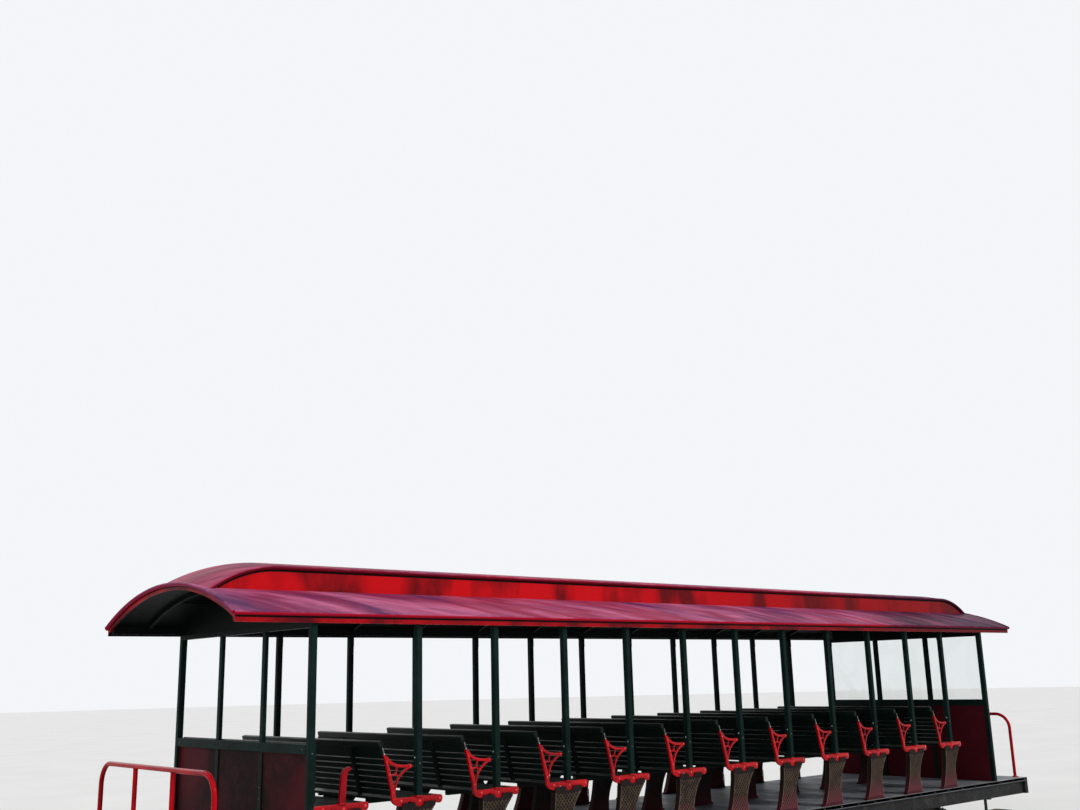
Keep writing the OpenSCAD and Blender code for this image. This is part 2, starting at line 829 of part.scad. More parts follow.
module bench_seats() {
    color("#16231f")
    at_benches(true) {
        along_y(-casting_in, casting_in) for (i = [0 : seat_slats - 1])
            translate([seat_rear + slat_w / 2 + i * (slat_w + slat_gap), seat_top - slat_t / 2])
                rounded_square(slat_w, slat_t, 5);
        for (y = bearer_ys) along_y(y - 20, y + 20)
            translate([seat_rear + 20, seat_top - slat_t - 36]) square([rail_front - seat_rear - 40, 40]);
    }
}

// The back's slats, in the leaning plane: x is across the slat's thickness, y runs up the back
module back_slats2d() {
    for (i = [0 : back_slats - 1])
        translate([0, back_start + back_slat_h / 2 + i * (back_slat_h + slat_gap)])
            rounded_square(slat_t, back_slat_h, 4);
    translate([0, upper_board_start + upper_board_h / 2]) rounded_square(slat_t, upper_board_h, 4);
}

module bench_backs() {
    color("#16231f") {
        at_benches(false) translate([back_foot[0], 0, back_foot[1]]) rotate([0, -back_angle, 0]) {
            along_y(-casting_in, casting_in) back_slats2d();
            for (y = bearer_ys) along_y(y - 20, y + 20)
                translate([-slat_t / 2 - 14, 10]) square([18, back_h - 20]);
        }
        translate([-corner_x + post_size / 2 + slat_t / 2 + 14, 0, floor_z + rail_top]) {
            along_y(-post_in, post_in) back_slats2d();
            for (y = [-third_y, third_y]) along_y(y - 20, y + 20)
                translate([-slat_t / 2 - 14, 10]) square([18, back_h - 20]);
        }
    }
}

module bench_cap_rails() {
    color("#1f3029") {
        at_benches(false) translate([back_foot[0], 0, back_foot[1]]) rotate([0, -back_angle, 0])
            translate([0, 0, back_h]) along_y(-casting_in, casting_in)
                translate([0, cap_h / 2]) rounded_square(cap_t, cap_h, 8);
        translate([-corner_x + post_size / 2 + cap_t / 2, 0, floor_z + rail_top + back_h])
            along_y(-post_in, post_in) translate([0, cap_h / 2]) rounded_square(cap_t, cap_h, 8);
    }
}

module grab_bars() {
    tube_r = grab_d / 2;
    bend_r = tube_r + 16;
    straight_top = floor_z + grab_top - tube_r - bend_r;
    color("#b3141f")
    both_sides() translate([first_bench_x, post_y, 0]) {
        translate([0, 0, post_foot]) cylinder(r = tube_r, h = straight_top - post_foot);
        translate([bend_r, 0, straight_top]) rotate([90, 0, 0]) rotate([0, 0, 90])
            rotate_extrude(angle = 90, $fn = bend_fn) translate([bend_r, 0]) circle(tube_r);
        translate([bend_r, 0, straight_top + bend_r]) rotate([0, 90, 0]) cylinder(r = tube_r, h = 30);
    }
}

// Trucks: drawn round their own centre, then placed

module arch_bars2d() {
    half = arch_bar_h / 2;
    low = plank_z - half;
    high = bolster_end_top + 12 + half;
    inner = box_top + half;
    outer = inner + arch_bar_h;
    end_x = wheelbase / 2 + box_w / 2;
    knee_x = wheelbase / 2 - box_w / 2 - 20;
    for (s = [-1, 1]) {
        for (run = [ // height at the box, height at the truck's middle
            [outer, high],
            [inner, low],
            [box_bottom - half, low - arch_bar_h]
        ]) {
            bar2d([s * end_x, run[0]], [s * knee_x, run[0]], half, half);
            bar2d([s * knee_x, run[0]], [s * column_x, run[1]], half, half);
        }
        translate([s > 0 ? column_x : -column_x - 34, low]) square([34, high - low]);
    }
    translate([-column_x, high - half]) square([2 * column_x, arch_bar_h]);
    translate([-column_x, low - arch_bar_h - half]) square([2 * column_x, 2 * arch_bar_h]);
}

module truck_frame() {
    frame_in = frame_y - arch_bar_w / 2;
    pocket_end = frame_y + arch_bar_w / 2 + 12;
    box_face = frame_y + arch_bar_w / 2 + 36;
    both_sides() {
        along_y(frame_in, frame_in + arch_bar_w) arch_bars2d();
        for (s = [-1, 1]) translate([s * wheelbase / 2, 0, 0]) difference() {
            union() {
                along_y(frame_in - 6, box_face - 8) translate([0, axle_z])
                    rounded_square(box_w, box_h, 14);
                along_y(box_face - 8, box_face) translate([0, axle_z + 4])
                    rounded_square(box_w - 30, box_h - 36, 20);
            }
            translate([0, pocket_end, axle_z]) rotate([90, 0, 0])
                cylinder(r = journal_r + run_gap, h = arch_bar_w + 40);
        }
    }
    translate([-bolster_half + 10, -frame_y - arch_bar_w / 2, plank_z])
        cube([2 * (bolster_half - 10), 2 * frame_y + arch_bar_w, plank_t]);
}

module truck_bolster() {
    reach = frame_y + arch_bar_w / 2 + 20;
    difference() {
        union() {
            along_x(-bolster_half, bolster_half) polygon([
                [-reach, spring_top], [-reach, bolster_end_top], [-frame_y + 60, bolster_end_top],
                [-frame_y + 130, bowl_top - 40], [frame_y - 130, bowl_top - 40],
                [frame_y - 60, bolster_end_top], [reach, bolster_end_top], [reach, spring_top],
                [frame_y - 60, spring_top], [frame_y - 130, spring_top - 40],
                [-frame_y + 130, spring_top - 40], [-frame_y + 60, spring_top]
            ]);
            translate([0, 0, bowl_top - 60]) cylinder(r = centre_plate_r - 10, h = 60);
            for (s = [-1, 1]) translate([-60, s * 400 - 40, bowl_top - 60]) cube([120, 80, 74]);
        }
        translate([0, 0, sill_bottom - centre_pin_l - 6])
            cylinder(r = centre_pin_r + run_gap, h = centre_pin_l + 10);
    }
}

module truck_springs() {
    turns = 4;
    pitch = (spring_top - plank_z - plank_t) / turns;
    for (x = [-bolster_half / 2 + 8, bolster_half / 2 - 8], y = [-frame_y, frame_y])
        translate([x, y, plank_z + plank_t]) {
            cylinder(r = spring_r * 0.72, h = turns * pitch);
            for (i = [0 : turns - 1]) translate([0, 0, (i + 0.5) * pitch])
                rotate_extrude() translate([spring_r - pitch * 0.42, 0]) circle(pitch * 0.42);
        }
}

module brake_beams() {
    beam_x = wheelbase / 2 - wheel_r - brake_reach;
    tread_mid = back_to_back / 2 + flange_h + (wheel_w - flange_h) / 2;
    for (s = [-1, 1]) mirror([s < 0 ? 1 : 0, 0, 0]) {
        along_y(-frame_y + arch_bar_w / 2, frame_y - arch_bar_w / 2)
            translate([beam_x, axle_z - brake_beam_h / 4])
                rounded_square(brake_beam_t, brake_beam_h, brake_beam_t / 5);
        both_sides() along_y(tread_mid - shoe_w / 2, tread_mid + shoe_w / 2) difference() {
            translate([beam_x - brake_beam_t / 3, axle_z - shoe_h / 2]) square([wheel_r, shoe_h]);
            translate([wheelbase / 2, axle_z]) circle(tread_r + shoe_gap, $fn = bend_fn);
        }
    }
}

module at_truck(end) {
    translate([end * truck_x, 0, 0]) children();
}

// Outline of one wheel on its axle, drawn as (radius, Y)
module wheelset_half2d() {
    inner = back_to_back / 2;
    outer = inner + wheel_w;
    rim_in = tread_r - 38;
    hub_r = axle_r + 34;
    polygon([
        [0, 0], [axle_r, 0], [axle_r, inner - 20], [hub_r, inner - 12], [hub_r, inner + 30],
        [rim_in, inner + 14], [rim_in, inner], [wheel_r - 8, inner], [wheel_r, inner + 9],
        [wheel_r - 3, inner + 17], [tread_r + 2, inner + 28], [tread_r, inner + 34],
        [tread_r - 4, outer - 6], [tread_r - 10, outer], [rim_in, outer], [rim_in, inner + 44],
        [hub_r, inner + 62], [hub_r, outer + 4], [axle_r + 8, outer + 10],
        [journal_r, outer + 10], [journal_r, frame_y + arch_bar_w / 2 + 8], [0, frame_y + arch_bar_w / 2 + 8]
    ]);
}

module wheelset(x) {
    color("#4b4845")
    translate([x, 0, axle_z]) both_sides() rotate([-90, 0, 0]) rotate_extrude($fn = 96) wheelset_half2d();
}

module front_truck_frame() { color("#23282b") at_truck(1) truck_frame(); }
module rear_truck_frame() { color("#23282b") at_truck(-1) truck_frame(); }
module front_truck_bolster() { color("#2a2f31") at_truck(1) truck_bolster(); }
module rear_truck_bolster() { color("#2a2f31") at_truck(-1) truck_bolster(); }
module front_truck_springs() { color("#3a3532") at_truck(1) truck_springs(); }
module rear_truck_springs() { color("#3a3532") at_truck(-1) truck_springs(); }
module front_brake_beams() { color("#302a28") at_truck(1) brake_beams(); }
module rear_brake_beams() { color("#302a28") at_truck(-1) brake_beams(); }
module wheelset_1() { wheelset(truck_x + wheelbase / 2); }
module wheelset_2() { wheelset(truck_x - wheelbase / 2); }
module wheelset_3() { wheelset(-truck_x + wheelbase / 2); }
module wheelset_4() { wheelset(-truck_x - wheelbase / 2); }

centre_sill();
side_sills();
end_beams();
body_bolsters();
cross_bearers();
floor_deck();
footboards();
footboard_brackets();
couplers();
air_reservoir();
guard_rails();
side_posts();
cantrails();
end_posts();
end_mid_rails();
end_headers();
end_panels();
front_window_glass();
roof_lower_deck();
roof_upper_deck();
duckbill_hoods();
clerestory_walls();
eave_fascias();
arch_fascias();
roof_bows();
bench_rails();
bench_brackets();
bench_legs();
bench_centre_legs();
bench_seats();
bench_backs();
bench_cap_rails();
grab_bars();
front_truck_frame();
front_truck_bolster();
front_truck_springs();
front_brake_beams();
rear_truck_frame();
rear_truck_bolster();
rear_truck_springs();
rear_brake_beams();
wheelset_1();
wheelset_2();
wheelset_3();
wheelset_4();
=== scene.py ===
"""Looks of an open-sided passenger coach of a narrow-gauge park railway.

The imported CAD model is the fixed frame. Each sub-assembly of the coach is a class: its sizes
are dataclass fields, and its methods model the small pieces that the frame leaves out and
dress the frame's own nodes. Each finish is a frozen dataclass that makes one procedural
material. Everything is in metres: +X is forward, +Y is the coach's left, +Z is up.
"""

from __future__ import annotations

import logging
import math
from dataclasses import dataclass, field
from enum import Enum
from typing import Iterable, Sequence

import bmesh
import bpy
from mathutils import Matrix, Vector
from mathutils.geometry import interpolate_bezier

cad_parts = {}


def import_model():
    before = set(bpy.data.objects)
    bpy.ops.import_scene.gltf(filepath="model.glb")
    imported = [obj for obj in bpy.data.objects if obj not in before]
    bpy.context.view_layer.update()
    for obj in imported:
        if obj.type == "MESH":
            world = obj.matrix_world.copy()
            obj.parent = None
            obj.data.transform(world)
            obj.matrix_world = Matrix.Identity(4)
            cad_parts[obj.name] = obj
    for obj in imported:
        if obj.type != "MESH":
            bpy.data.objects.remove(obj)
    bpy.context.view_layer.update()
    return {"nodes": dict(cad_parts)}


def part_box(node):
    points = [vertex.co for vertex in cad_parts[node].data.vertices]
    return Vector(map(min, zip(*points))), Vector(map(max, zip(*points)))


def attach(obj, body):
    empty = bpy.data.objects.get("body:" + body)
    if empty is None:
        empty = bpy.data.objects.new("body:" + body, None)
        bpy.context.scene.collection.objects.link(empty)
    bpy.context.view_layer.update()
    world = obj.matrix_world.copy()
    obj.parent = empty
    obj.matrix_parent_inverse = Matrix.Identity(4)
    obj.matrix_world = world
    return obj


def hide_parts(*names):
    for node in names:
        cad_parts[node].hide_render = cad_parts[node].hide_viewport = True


log = logging.getLogger("coach")

Pair = tuple[float, float]
Triple = tuple[float, float, float]
Colour = Triple
Place = tuple[Vector, Vector]
Socket = bpy.types.NodeSocket
Nodes = dict[str, bpy.types.Object]

MM = 0.001
TRUCK_X = 3.75


def srgb(red: int, green: int, blue: int) -> Colour:
    """Turns a colour as seen on screen into the linear one that a shader takes.

    Args:
        red: Red, 0 to 255.
        green: Green, 0 to 255.
        blue: Blue, 0 to 255.

    Returns:
        The linear colour.
    """
    def linear(value: int) -> float:
        """Returns one linear channel."""
        share = value / 255
        return share / 12.92 if share <= 0.04045 else ((share + 0.055) / 1.055) ** 2.4

    return linear(red), linear(green), linear(blue)


class Graph:
    """A material's node tree, with one short method for each kind of node."""

    def __init__(self, name: str) -> None:
        """Makes the material and its shader.

        Args:
            name: The material's name.
        """
        self.material = bpy.data.materials.new(name)
        self.material.use_nodes = True
        self.tree = self.material.node_tree
        self.tree.nodes.clear()
        self.output = self.tree.nodes.new("ShaderNodeOutputMaterial")
        self.shader = self.tree.nodes.new("ShaderNodeBsdfPrincipled")
        self.link(self.shader.outputs["BSDF"], self.output.inputs["Surface"])
        self.coordinates = self.tree.nodes.new("ShaderNodeTexCoord").outputs["Object"]

    def link(self, source: Socket, target: Socket) -> None:
        """Joins two sockets."""
        self.tree.links.new(source, target)

    def feed(self, target: Socket, value: object) -> None:
        """Links a socket, or sets it when the value is a plain number, colour or vector.

        Args:
            target: The socket to feed.
            value: A socket, a number or a sequence of numbers.
        """
        if isinstance(value, Socket):
            self.link(value, target)
        elif isinstance(value, (int, float)):
            target.default_value = value
        else:
            numbers = tuple(value)
            wanted = len(target.default_value)
            target.default_value = numbers + (1.0,) * (wanted - len(numbers))

    def scaled(self, scale: Sequence[float]) -> Socket:
        """Returns Object coordinates, stretched.

        Args:
            scale: Scale along X, Y and Z.

        Returns:
            The vector socket.
        """
        node = self.tree.nodes.new("ShaderNodeMapping")
        self.link(self.coordinates, node.inputs["Vector"])
        self.feed(node.inputs["Scale"], scale)
        return node.outputs["Vector"]

    def drawn_out(self, turn: float, lengths: Sequence[float]) -> Socket:
        """Returns Object coordinates turned about Z, then drawn out along the turned axes.

        Args:
            turn: Angle about Z, in radians.
            lengths: How far the pattern is drawn out along each axis.

        Returns:
            The vector socket.
        """
        node = self.tree.nodes.new("ShaderNodeMapping")
        node.vector_type = "TEXTURE"
        self.link(self.coordinates, node.inputs["Vector"])
        self.feed(node.inputs["Scale"], lengths)
        self.feed(node.inputs["Rotation"], (0.0, 0.0, turn))
        return node.outputs["Vector"]

    def noise(
        self, scale: float, detail: float = 3.0, vector: Socket | None = None, distortion: float = 0.0
    ) -> Socket:
        """Returns a noise pattern.

        Args:
            scale: Spots to the metre.
            detail: Octaves.
            vector: Coordinates, or None for plain Object coordinates.
            distortion: How much the pattern is warped.

        Returns:
            The pattern's strength.
        """
        node = self.tree.nodes.new("ShaderNodeTexNoise")
        self.link(vector or self.coordinates, node.inputs["Vector"])
        node.inputs["Scale"].default_value = scale
        node.inputs["Detail"].default_value = detail
        node.inputs["Distortion"].default_value = distortion
        return node.outputs["Fac"]

    def remap(
        self, value: Socket, low: float, high: float, to_low: float = 0.0, to_high: float = 1.0
    ) -> Socket:
        """Returns a value moved from one range to another, clamped.

        Args:
            value: The value.
            low: Start of its range.
            high: End of its range.
            to_low: Result at the start.
            to_high: Result at the end.

        Returns:
            The result's socket.
        """
        node = self.tree.nodes.new("ShaderNodeMapRange")
        self.link(value, node.inputs["Value"])
        for name, number in (
            ("From Min", low), ("From Max", high), ("To Min", to_low), ("To Max", to_high),
        ):
            node.inputs[name].default_value = number
        return node.outputs["Result"]

    def math(self, operation: str, first: object, second: object = 0.0) -> Socket:
        """Returns the result of one Math node.

        Args:
            operation: The node's operation.
            first: A socket or a number.
            second: A socket or a number.

        Returns:
            The result's socket.
        """
        node = self.tree.nodes.new("ShaderNodeMath")
        node.operation = operation
        self.feed(node.inputs[0], first)
        self.feed(node.inputs[1], second)
        return node.outputs[0]

    def plus(self, first: object, second: object) -> Socket:
        """Returns the sum of two sockets or numbers."""
        return self.math("ADD", first, second)

    def times(self, first: object, second: object) -> Socket:
        """Returns the product of two sockets or numbers."""
        return self.math("MULTIPLY", first, second)

    def mix(self, share: object, first: object, second: object) -> Socket:
        """Returns a mix of two colours.

        Args:
            share: Share of the second colour.
            first: A socket or a colour.
            second: A socket or a colour.

        Returns:
            The colour socket.
        """
        node = self.tree.nodes.new("ShaderNodeMix")
        node.data_type = "RGBA"
        self.feed(node.inputs["Factor"], share)
        self.feed(node.inputs[6], first)
        self.feed(node.inputs[7], second)
        return node.outputs[2]

    def axes(self, vector: Socket) -> tuple[Socket, ...]:
        """Splits a vector.

        Args:
            vector: The vector.

        Returns:
            Its X, Y and Z.
        """
        node = self.tree.nodes.new("ShaderNodeSeparateXYZ")
        self.link(vector, node.inputs[0])
        return node.outputs[0], node.outputs[1], node.outputs[2]

    def facing(self) -> Socket:
        """Returns the direction that a surface faces."""
        return self.tree.nodes.new("ShaderNodeNewGeometry").outputs["Normal"]

    def upward(self) -> Socket:
        """Returns how far a surface faces up, from -1 to 1."""
        return self.axes(self.facing())[2]

    def inward(self) -> Socket:
        """Finds the upright faces near the coach's edges that face its middle.

        Returns:
            1 on those faces, and 0 elsewhere.
        """
        facing, place = self.axes(self.facing()), self.axes(self.coordinates)
        across = [self.times(facing[i], place[i]) for i in (0, 1)]
        return self.remap(self.plus(*across), -1.0, -0.8, 1.0, 0.0)

    def bump(self, height: Socket, depth: float, strength: float = 1.0) -> None:
        """Adds a relief on top of the one that the shader has.

        Args:
            height: The pattern's height, 0 to 1.
            depth: How deep the relief is, in metres.
            strength: How strongly it shows.
        """
        node = self.tree.nodes.new("ShaderNodeBump")
        node.inputs["Distance"].default_value = depth
        node.inputs["Strength"].default_value = strength
        self.link(height, node.inputs["Height"])
        before = self.shader.inputs["Normal"].links
        if before:
            self.link(before[0].from_socket, node.inputs["Normal"])
        self.link(node.outputs["Normal"], self.shader.inputs["Normal"])

    def set(self, **values: object) -> None:
        """Feeds the shader's sockets, named with _ in place of a space.

        Args:
            **values: A socket, number or colour for each.
        """
        for name, value in values.items():
            self.feed(self.shader.inputs[name.replace("_", " ")], value)


@dataclass(frozen=True)
class Finish:
    """A surface finish of the coach, tied to one material slot of the record."""

    name: str
    slot: str

    def dress(self, graph: Graph) -> None:
        """Fills the node tree. Each finish has its own."""
        raise NotImplementedError

    def material(self) -> bpy.types.Material:
        """Makes the material once, and returns the same one after that.

        Returns:
            The material.
        """
        made = bpy.data.materials.get(self.name)
        if made is None:
            graph = Graph(self.name)
            self.dress(graph)
            made = graph.material
        return made


@dataclass(frozen=True)
class Enamel(Finish):
    """Brushed or sprayed enamel on metal: slow mottling, brush ripple, dust on what faces up, chips."""

    colour: Colour
    shade: Colour
    faded: Colour
    rough: Pair = (0.2, 0.38)
    gloss: float = 0.2
    mottle: float = 4.0
    stretch: Triple = (1.0, 1.0, 1.0)
    spread: Pair = (0.35, 0.68)
    fade: float = 0.35
    dust: float = 0.12
    dust_colour: Colour = srgb(120, 112, 102)
    ripple: float = 0.35
    pits: float = 0.0
    chips: float = 0.0
    chip_colour: Colour = srgb(50, 36, 30)
    inside: Colour | None = None
    front_shade: float = 0.0
    front_x: Pair = (-1.5, 4.0)

    def dress(self, graph: Graph) -> None:
        """Builds the enamel.

        Args:
            graph: The material's node tree.
        """
        # Slow mottling towards the darker colour; on the clerestory walls and the end panels these blotches
        # are painted shade.
        slow = graph.noise(self.mottle, 4.0, graph.scaled(self.stretch), 0.4)
        quick = graph.noise(70.0, 4.0)
        body = graph.mix(graph.remap(slow, *self.spread), self.colour, self.shade)
        worn = graph.noise(11.0, 6.0, distortion=0.8)
        body = graph.mix(graph.remap(worn, 0.5, 0.75, 0.0, self.fade), body, self.faded)
        if self.front_shade:
            x_place = graph.axes(graph.coordinates)[0]
            body = graph.mix(graph.remap(x_place, *self.front_x, 0.0, self.front_shade), body, self.shade)
        # Faces that look inward take the near-black lining colour: dark paint, deepened as painted shade
        # under the roof.
        if self.inside is not None:
            body = graph.mix(graph.inward(), body, self.inside)
        rough = graph.remap(quick, 0.3, 0.7, *self.rough)
        if self.chips:
            patch = graph.noise(38.0, 5.0, distortion=1.2)
            edge = 0.72 - 0.12 * self.chips
            chip = graph.remap(patch, edge, edge + 0.015)
            body = graph.mix(chip, body, self.chip_colour)
            rough = graph.plus(rough, graph.times(chip, 0.3))
        if self.dust:
            grime = graph.noise(23.0, 5.0)
            up = graph.remap(graph.upward(), 0.35, 1.0)
            share = graph.times(up, graph.remap(grime, 0.3, 0.75, 0.2 * self.dust, self.dust))
            body = graph.mix(share, body, self.dust_colour)
            rough = graph.plus(rough, graph.times(share, 0.5))
        graph.set(Base_Color=body, Roughness=rough, Specular_IOR_Level=self.gloss)
        graph.bump(graph.noise(24.0, 2.0), 0.6 * MM, self.ripple)
        if self.pits:
            graph.bump(graph.noise(190.0, 4.0), 1.2 * MM, self.pits)


@dataclass(frozen=True)
class RoofPaint(Finish):
    """Roof enamel on sheet: red, purplish on what faces up as painted sky sheen, with slanting streaks of
    painted sunlight, painted branch shadows and painted shade towards the front.
    """

    colour: Colour
    plum: Colour
    sunlit_pink: Colour
    ink: Colour
    rim: Colour
    lined: Pair
    slant: float = math.radians(-38)
    branch_shadow_turn: float = 0.5
    front_x: Pair = (3.5, 4.1)
    top_from: Pair = (0.12, 0.42)
    gloss: float = 0.02

    def dress(self, graph: Graph) -> None:
        """Builds the roof paint with its painted sunlight, sky sheen, branch shadows and front shade, and the
        near-black lining colour, dark paint deepened as painted shade, on what faces down inside the rims.

        Args:
            graph: The material's node tree.
        """
        bands = graph.noise(1.5, 5.0, graph.drawn_out(self.slant, (2.1, 0.45, 1.0)), 0.7)
        thin = graph.noise(4.2, 6.0, graph.drawn_out(self.slant, (2.8, 0.36, 1.0)), 0.8)
        branch_shadows = graph.noise(3.1, 5.0, graph.drawn_out(self.slant + self.branch_shadow_turn, (3.0, 0.28, 1.0)), 0.9)
        shadow_patches = graph.noise(0.8, 5.0, graph.drawn_out(self.slant, (1.5, 0.7, 1.0)), 0.6)
        fine = graph.noise(30.0, 5.0, graph.scaled((0.3, 1.0, 1.0)))
        x_place, y_place, _ = graph.axes(graph.coordinates)
        up = graph.remap(graph.upward(), *self.top_from)
        # Slow patches of the darker purple: painted branch shadows.
        body = graph.mix(graph.remap(shadow_patches, 0.4, 0.59), self.colour, self.plum)
        # Slanting light bands and thin streaks: painted sunlight and sky reflection on the roof.
        sunlit_streaks = graph.plus(
            graph.remap(bands, 0.44, 0.66, 0.0, 0.8), graph.remap(thin, 0.48, 0.72, 0.0, 0.5)
        )
        body = graph.mix(graph.math("MINIMUM", sunlit_streaks, 1.0), body, self.sunlit_pink)
        # Thin slanting streaks of the darker purple: painted shadows of twigs and branches.
        body = graph.mix(graph.remap(branch_shadows, 0.5, 0.66, 0.0, 0.45), body, self.plum)
        # Towards the front end the roof turns to the inky colour: painted shade, with a cool painted sky
        # reflection.
        front = graph.remap(graph.plus(x_place, graph.times(bands, 2.0)), *self.front_x, 0.0, 0.95)
        front_shade_share = graph.times(front, graph.remap(thin, 0.42, 0.68, 1.0, 0.5))
        body = graph.mix(front_shade_share, body, self.ink)
        endways = graph.math("ABSOLUTE", graph.axes(graph.facing())[0])
        rim = graph.mix(graph.remap(endways, 0.35, 0.8, 0.0, 0.6), self.rim, self.plum)
        # The rims darken to the same inky colour at the front: painted shade.
        rim = graph.mix(graph.times(front, 0.75), rim, self.ink)
        # What faces up takes the purplish streaked colour, a painted sky sheen over the red; what faces
        # sideways keeps the rim's red.
        body = graph.mix(up, rim, body)
        body = graph.mix(graph.remap(fine, 0.52, 0.8, 0.0, 0.25), body, self.plum)
        # What faces down inside the rims takes the near-black lining colour: dark paint, deepened as painted
        # shade under the roof.
        down = graph.remap(graph.upward(), -0.35, -0.2, 1.0, 0.0)
        for place, half in zip((x_place, y_place), self.lined):
            inside = graph.remap(graph.math("ABSOLUTE", place), half - 1 * MM, half, 1.0, 0.0)
            down = graph.times(down, inside)
        body = graph.mix(down, body, SHADED_LINING)
        graph.set(
            Base_Color=body,
            Roughness=graph.remap(bands, 0.3, 0.75, 0.36, 0.52),
            Specular_IOR_Level=self.gloss,
        )
        graph.bump(graph.noise(1.7, 3.0, graph.scaled((0.35, 1.0, 1.0))), 9 * MM, 0.45)
        graph.bump(fine, 0.5 * MM, 0.4)


@dataclass(frozen=True)
class PaintedWood(Finish):
    """Painted hardwood: grain telegraphs through the paint along one axis of the coach."""

    colour: Colour
    light: Colour
    grain: Triple
    rough: Pair = (0.3, 0.5)
    wear: float = 0.3
    bare: Colour = srgb(78, 68, 52)
    dust: float = 0.1
    dust_colour: Colour = srgb(110, 106, 96)
    gloss: float = 0.2

    def dress(self, graph: Graph) -> None:
        """Builds the painted wood.

        Args:
            graph: The material's node tree.
        """
        lines = graph.noise(95.0, 4.0, graph.scaled(self.grain), 0.5)
        boards = graph.noise(2.4, 3.0)
        body = graph.mix(graph.remap(lines, 0.4, 0.72, 0.0, 0.6), self.colour, self.light)
        body = graph.mix(graph.remap(boards, 0.4, 0.7, 0.0, 0.4), body, self.light)
        rubbed = graph.noise(13.0, 6.0, distortion=0.9)
        wear = graph.remap(rubbed, 0.66 - 0.1 * self.wear, 0.74, 0.0, 0.6 * self.wear)
        body = graph.mix(wear, body, self.bare)
        up = graph.remap(graph.upward(), 0.5, 1.0, 0.0, self.dust)
        body = graph.mix(up, body, self.dust_colour)
        graph.set(
            Base_Color=body,
            Roughness=graph.remap(lines, 0.3, 0.7, *self.rough),
            Specular_IOR_Level=self.gloss,
        )
        graph.bump(lines, 0.5 * MM, 0.7)


@dataclass(frozen=True)
class CastIron(Finish):
    """Rough casting: sandy skin, oily dark patches, a tint that rises from the foot."""

    colour: Colour
    shade: Colour
    foot: Colour | None = None
    foot_z: Pair = (0.69, 0.92)
    rough: Pair = (0.45, 0.75)
    grain: float = 0.8
    gloss: float = 0.08

    def dress(self, graph: Graph) -> None:
        """Builds the casting.

        Args:
            graph: The material's node tree.
        """
        sand = graph.noise(240.0, 3.0)
        blotch = graph.noise(17.0, 6.0, distortion=0.7)
        body = graph.mix(graph.remap(blotch, 0.35, 0.7), self.colour, self.shade)
        if self.foot is not None:
            height = graph.axes(graph.coordinates)[2]
            rise = graph.remap(height, *self.foot_z, 1.0, 0.0)
            share = graph.times(rise, graph.remap(blotch, 0.25, 0.7, 0.45, 1.0))
            body = graph.mix(share, body, self.foot)
        graph.set(
            Base_Color=body,
            Roughness=graph.remap(sand, 0.3, 0.7, *self.rough),
            Specular_IOR_Level=self.gloss,
        )
        graph.bump(sand, 0.7 * MM, self.grain)
        graph.bump(blotch, 1.5 * MM, 0.4)


@dataclass(frozen=True)
class DeckPaint(Finish):
    """Grey deck paint, scuffed along the way in and at the benches, on sheets that butt."""

    colour: Colour
    scuffed: Colour
    dirt: Colour
    sheet: float
    seam_half: float = 2.5 * MM
    gloss: float = 0.16

    def dress(self, graph: Graph) -> None:
        """Builds the deck paint.

        Args:
            graph: The material's node tree.
        """
        scuffs = graph.noise(6.0, 7.0, graph.scaled((1.0, 0.35, 1.0)), 0.9)
        grit = graph.noise(320.0, 2.0)
        stain = graph.noise(1.6, 5.0, distortion=0.5)
        body = graph.mix(graph.remap(scuffs, 0.45, 0.72, 0.0, 0.7), self.colour, self.scuffed)
        body = graph.mix(graph.remap(stain, 0.48, 0.72, 0.0, 0.5), body, self.dirt)
        x_place = graph.axes(graph.coordinates)[0]
        joint = graph.math("PINGPONG", x_place, self.sheet / 2)
        seam = graph.remap(joint, 0.0, self.seam_half, 1.0, 0.0)
        body = graph.mix(graph.times(seam, 0.8), body, self.dirt)
        graph.set(
            Base_Color=body,
            Roughness=graph.remap(scuffs, 0.3, 0.7, 0.6, 0.42),
            Specular_IOR_Level=self.gloss,
        )
        graph.bump(grit, 0.6 * MM, 0.7)
        graph.bump(graph.math("SUBTRACT", 1.0, seam), 1.5 * MM, 0.6)


@dataclass(frozen=True)
class BareSteel(Finish):
    """Bright or zinc-plated steel with fine brushing and a little tarnish."""

    colour: Colour
    tarnish: Colour
    rough: Pair = (0.28, 0.5)

    def dress(self, graph: Graph) -> None:
        """Builds the steel.

        Args:
            graph: The material's node tree.
        """
        spots = graph.noise(55.0, 5.0, distortion=0.6)
        brushed = graph.noise(420.0, 2.0, graph.scaled((0.15, 1.0, 1.0)))
        body = graph.mix(graph.remap(spots, 0.45, 0.7, 0.0, 0.8), self.colour, self.tarnish)
        graph.set(
            Base_Color=body, Metallic=0.9, Roughness=graph.remap(brushed, 0.3, 0.7, *self.rough)
        )
        graph.bump(brushed, 0.2 * MM, 0.4)


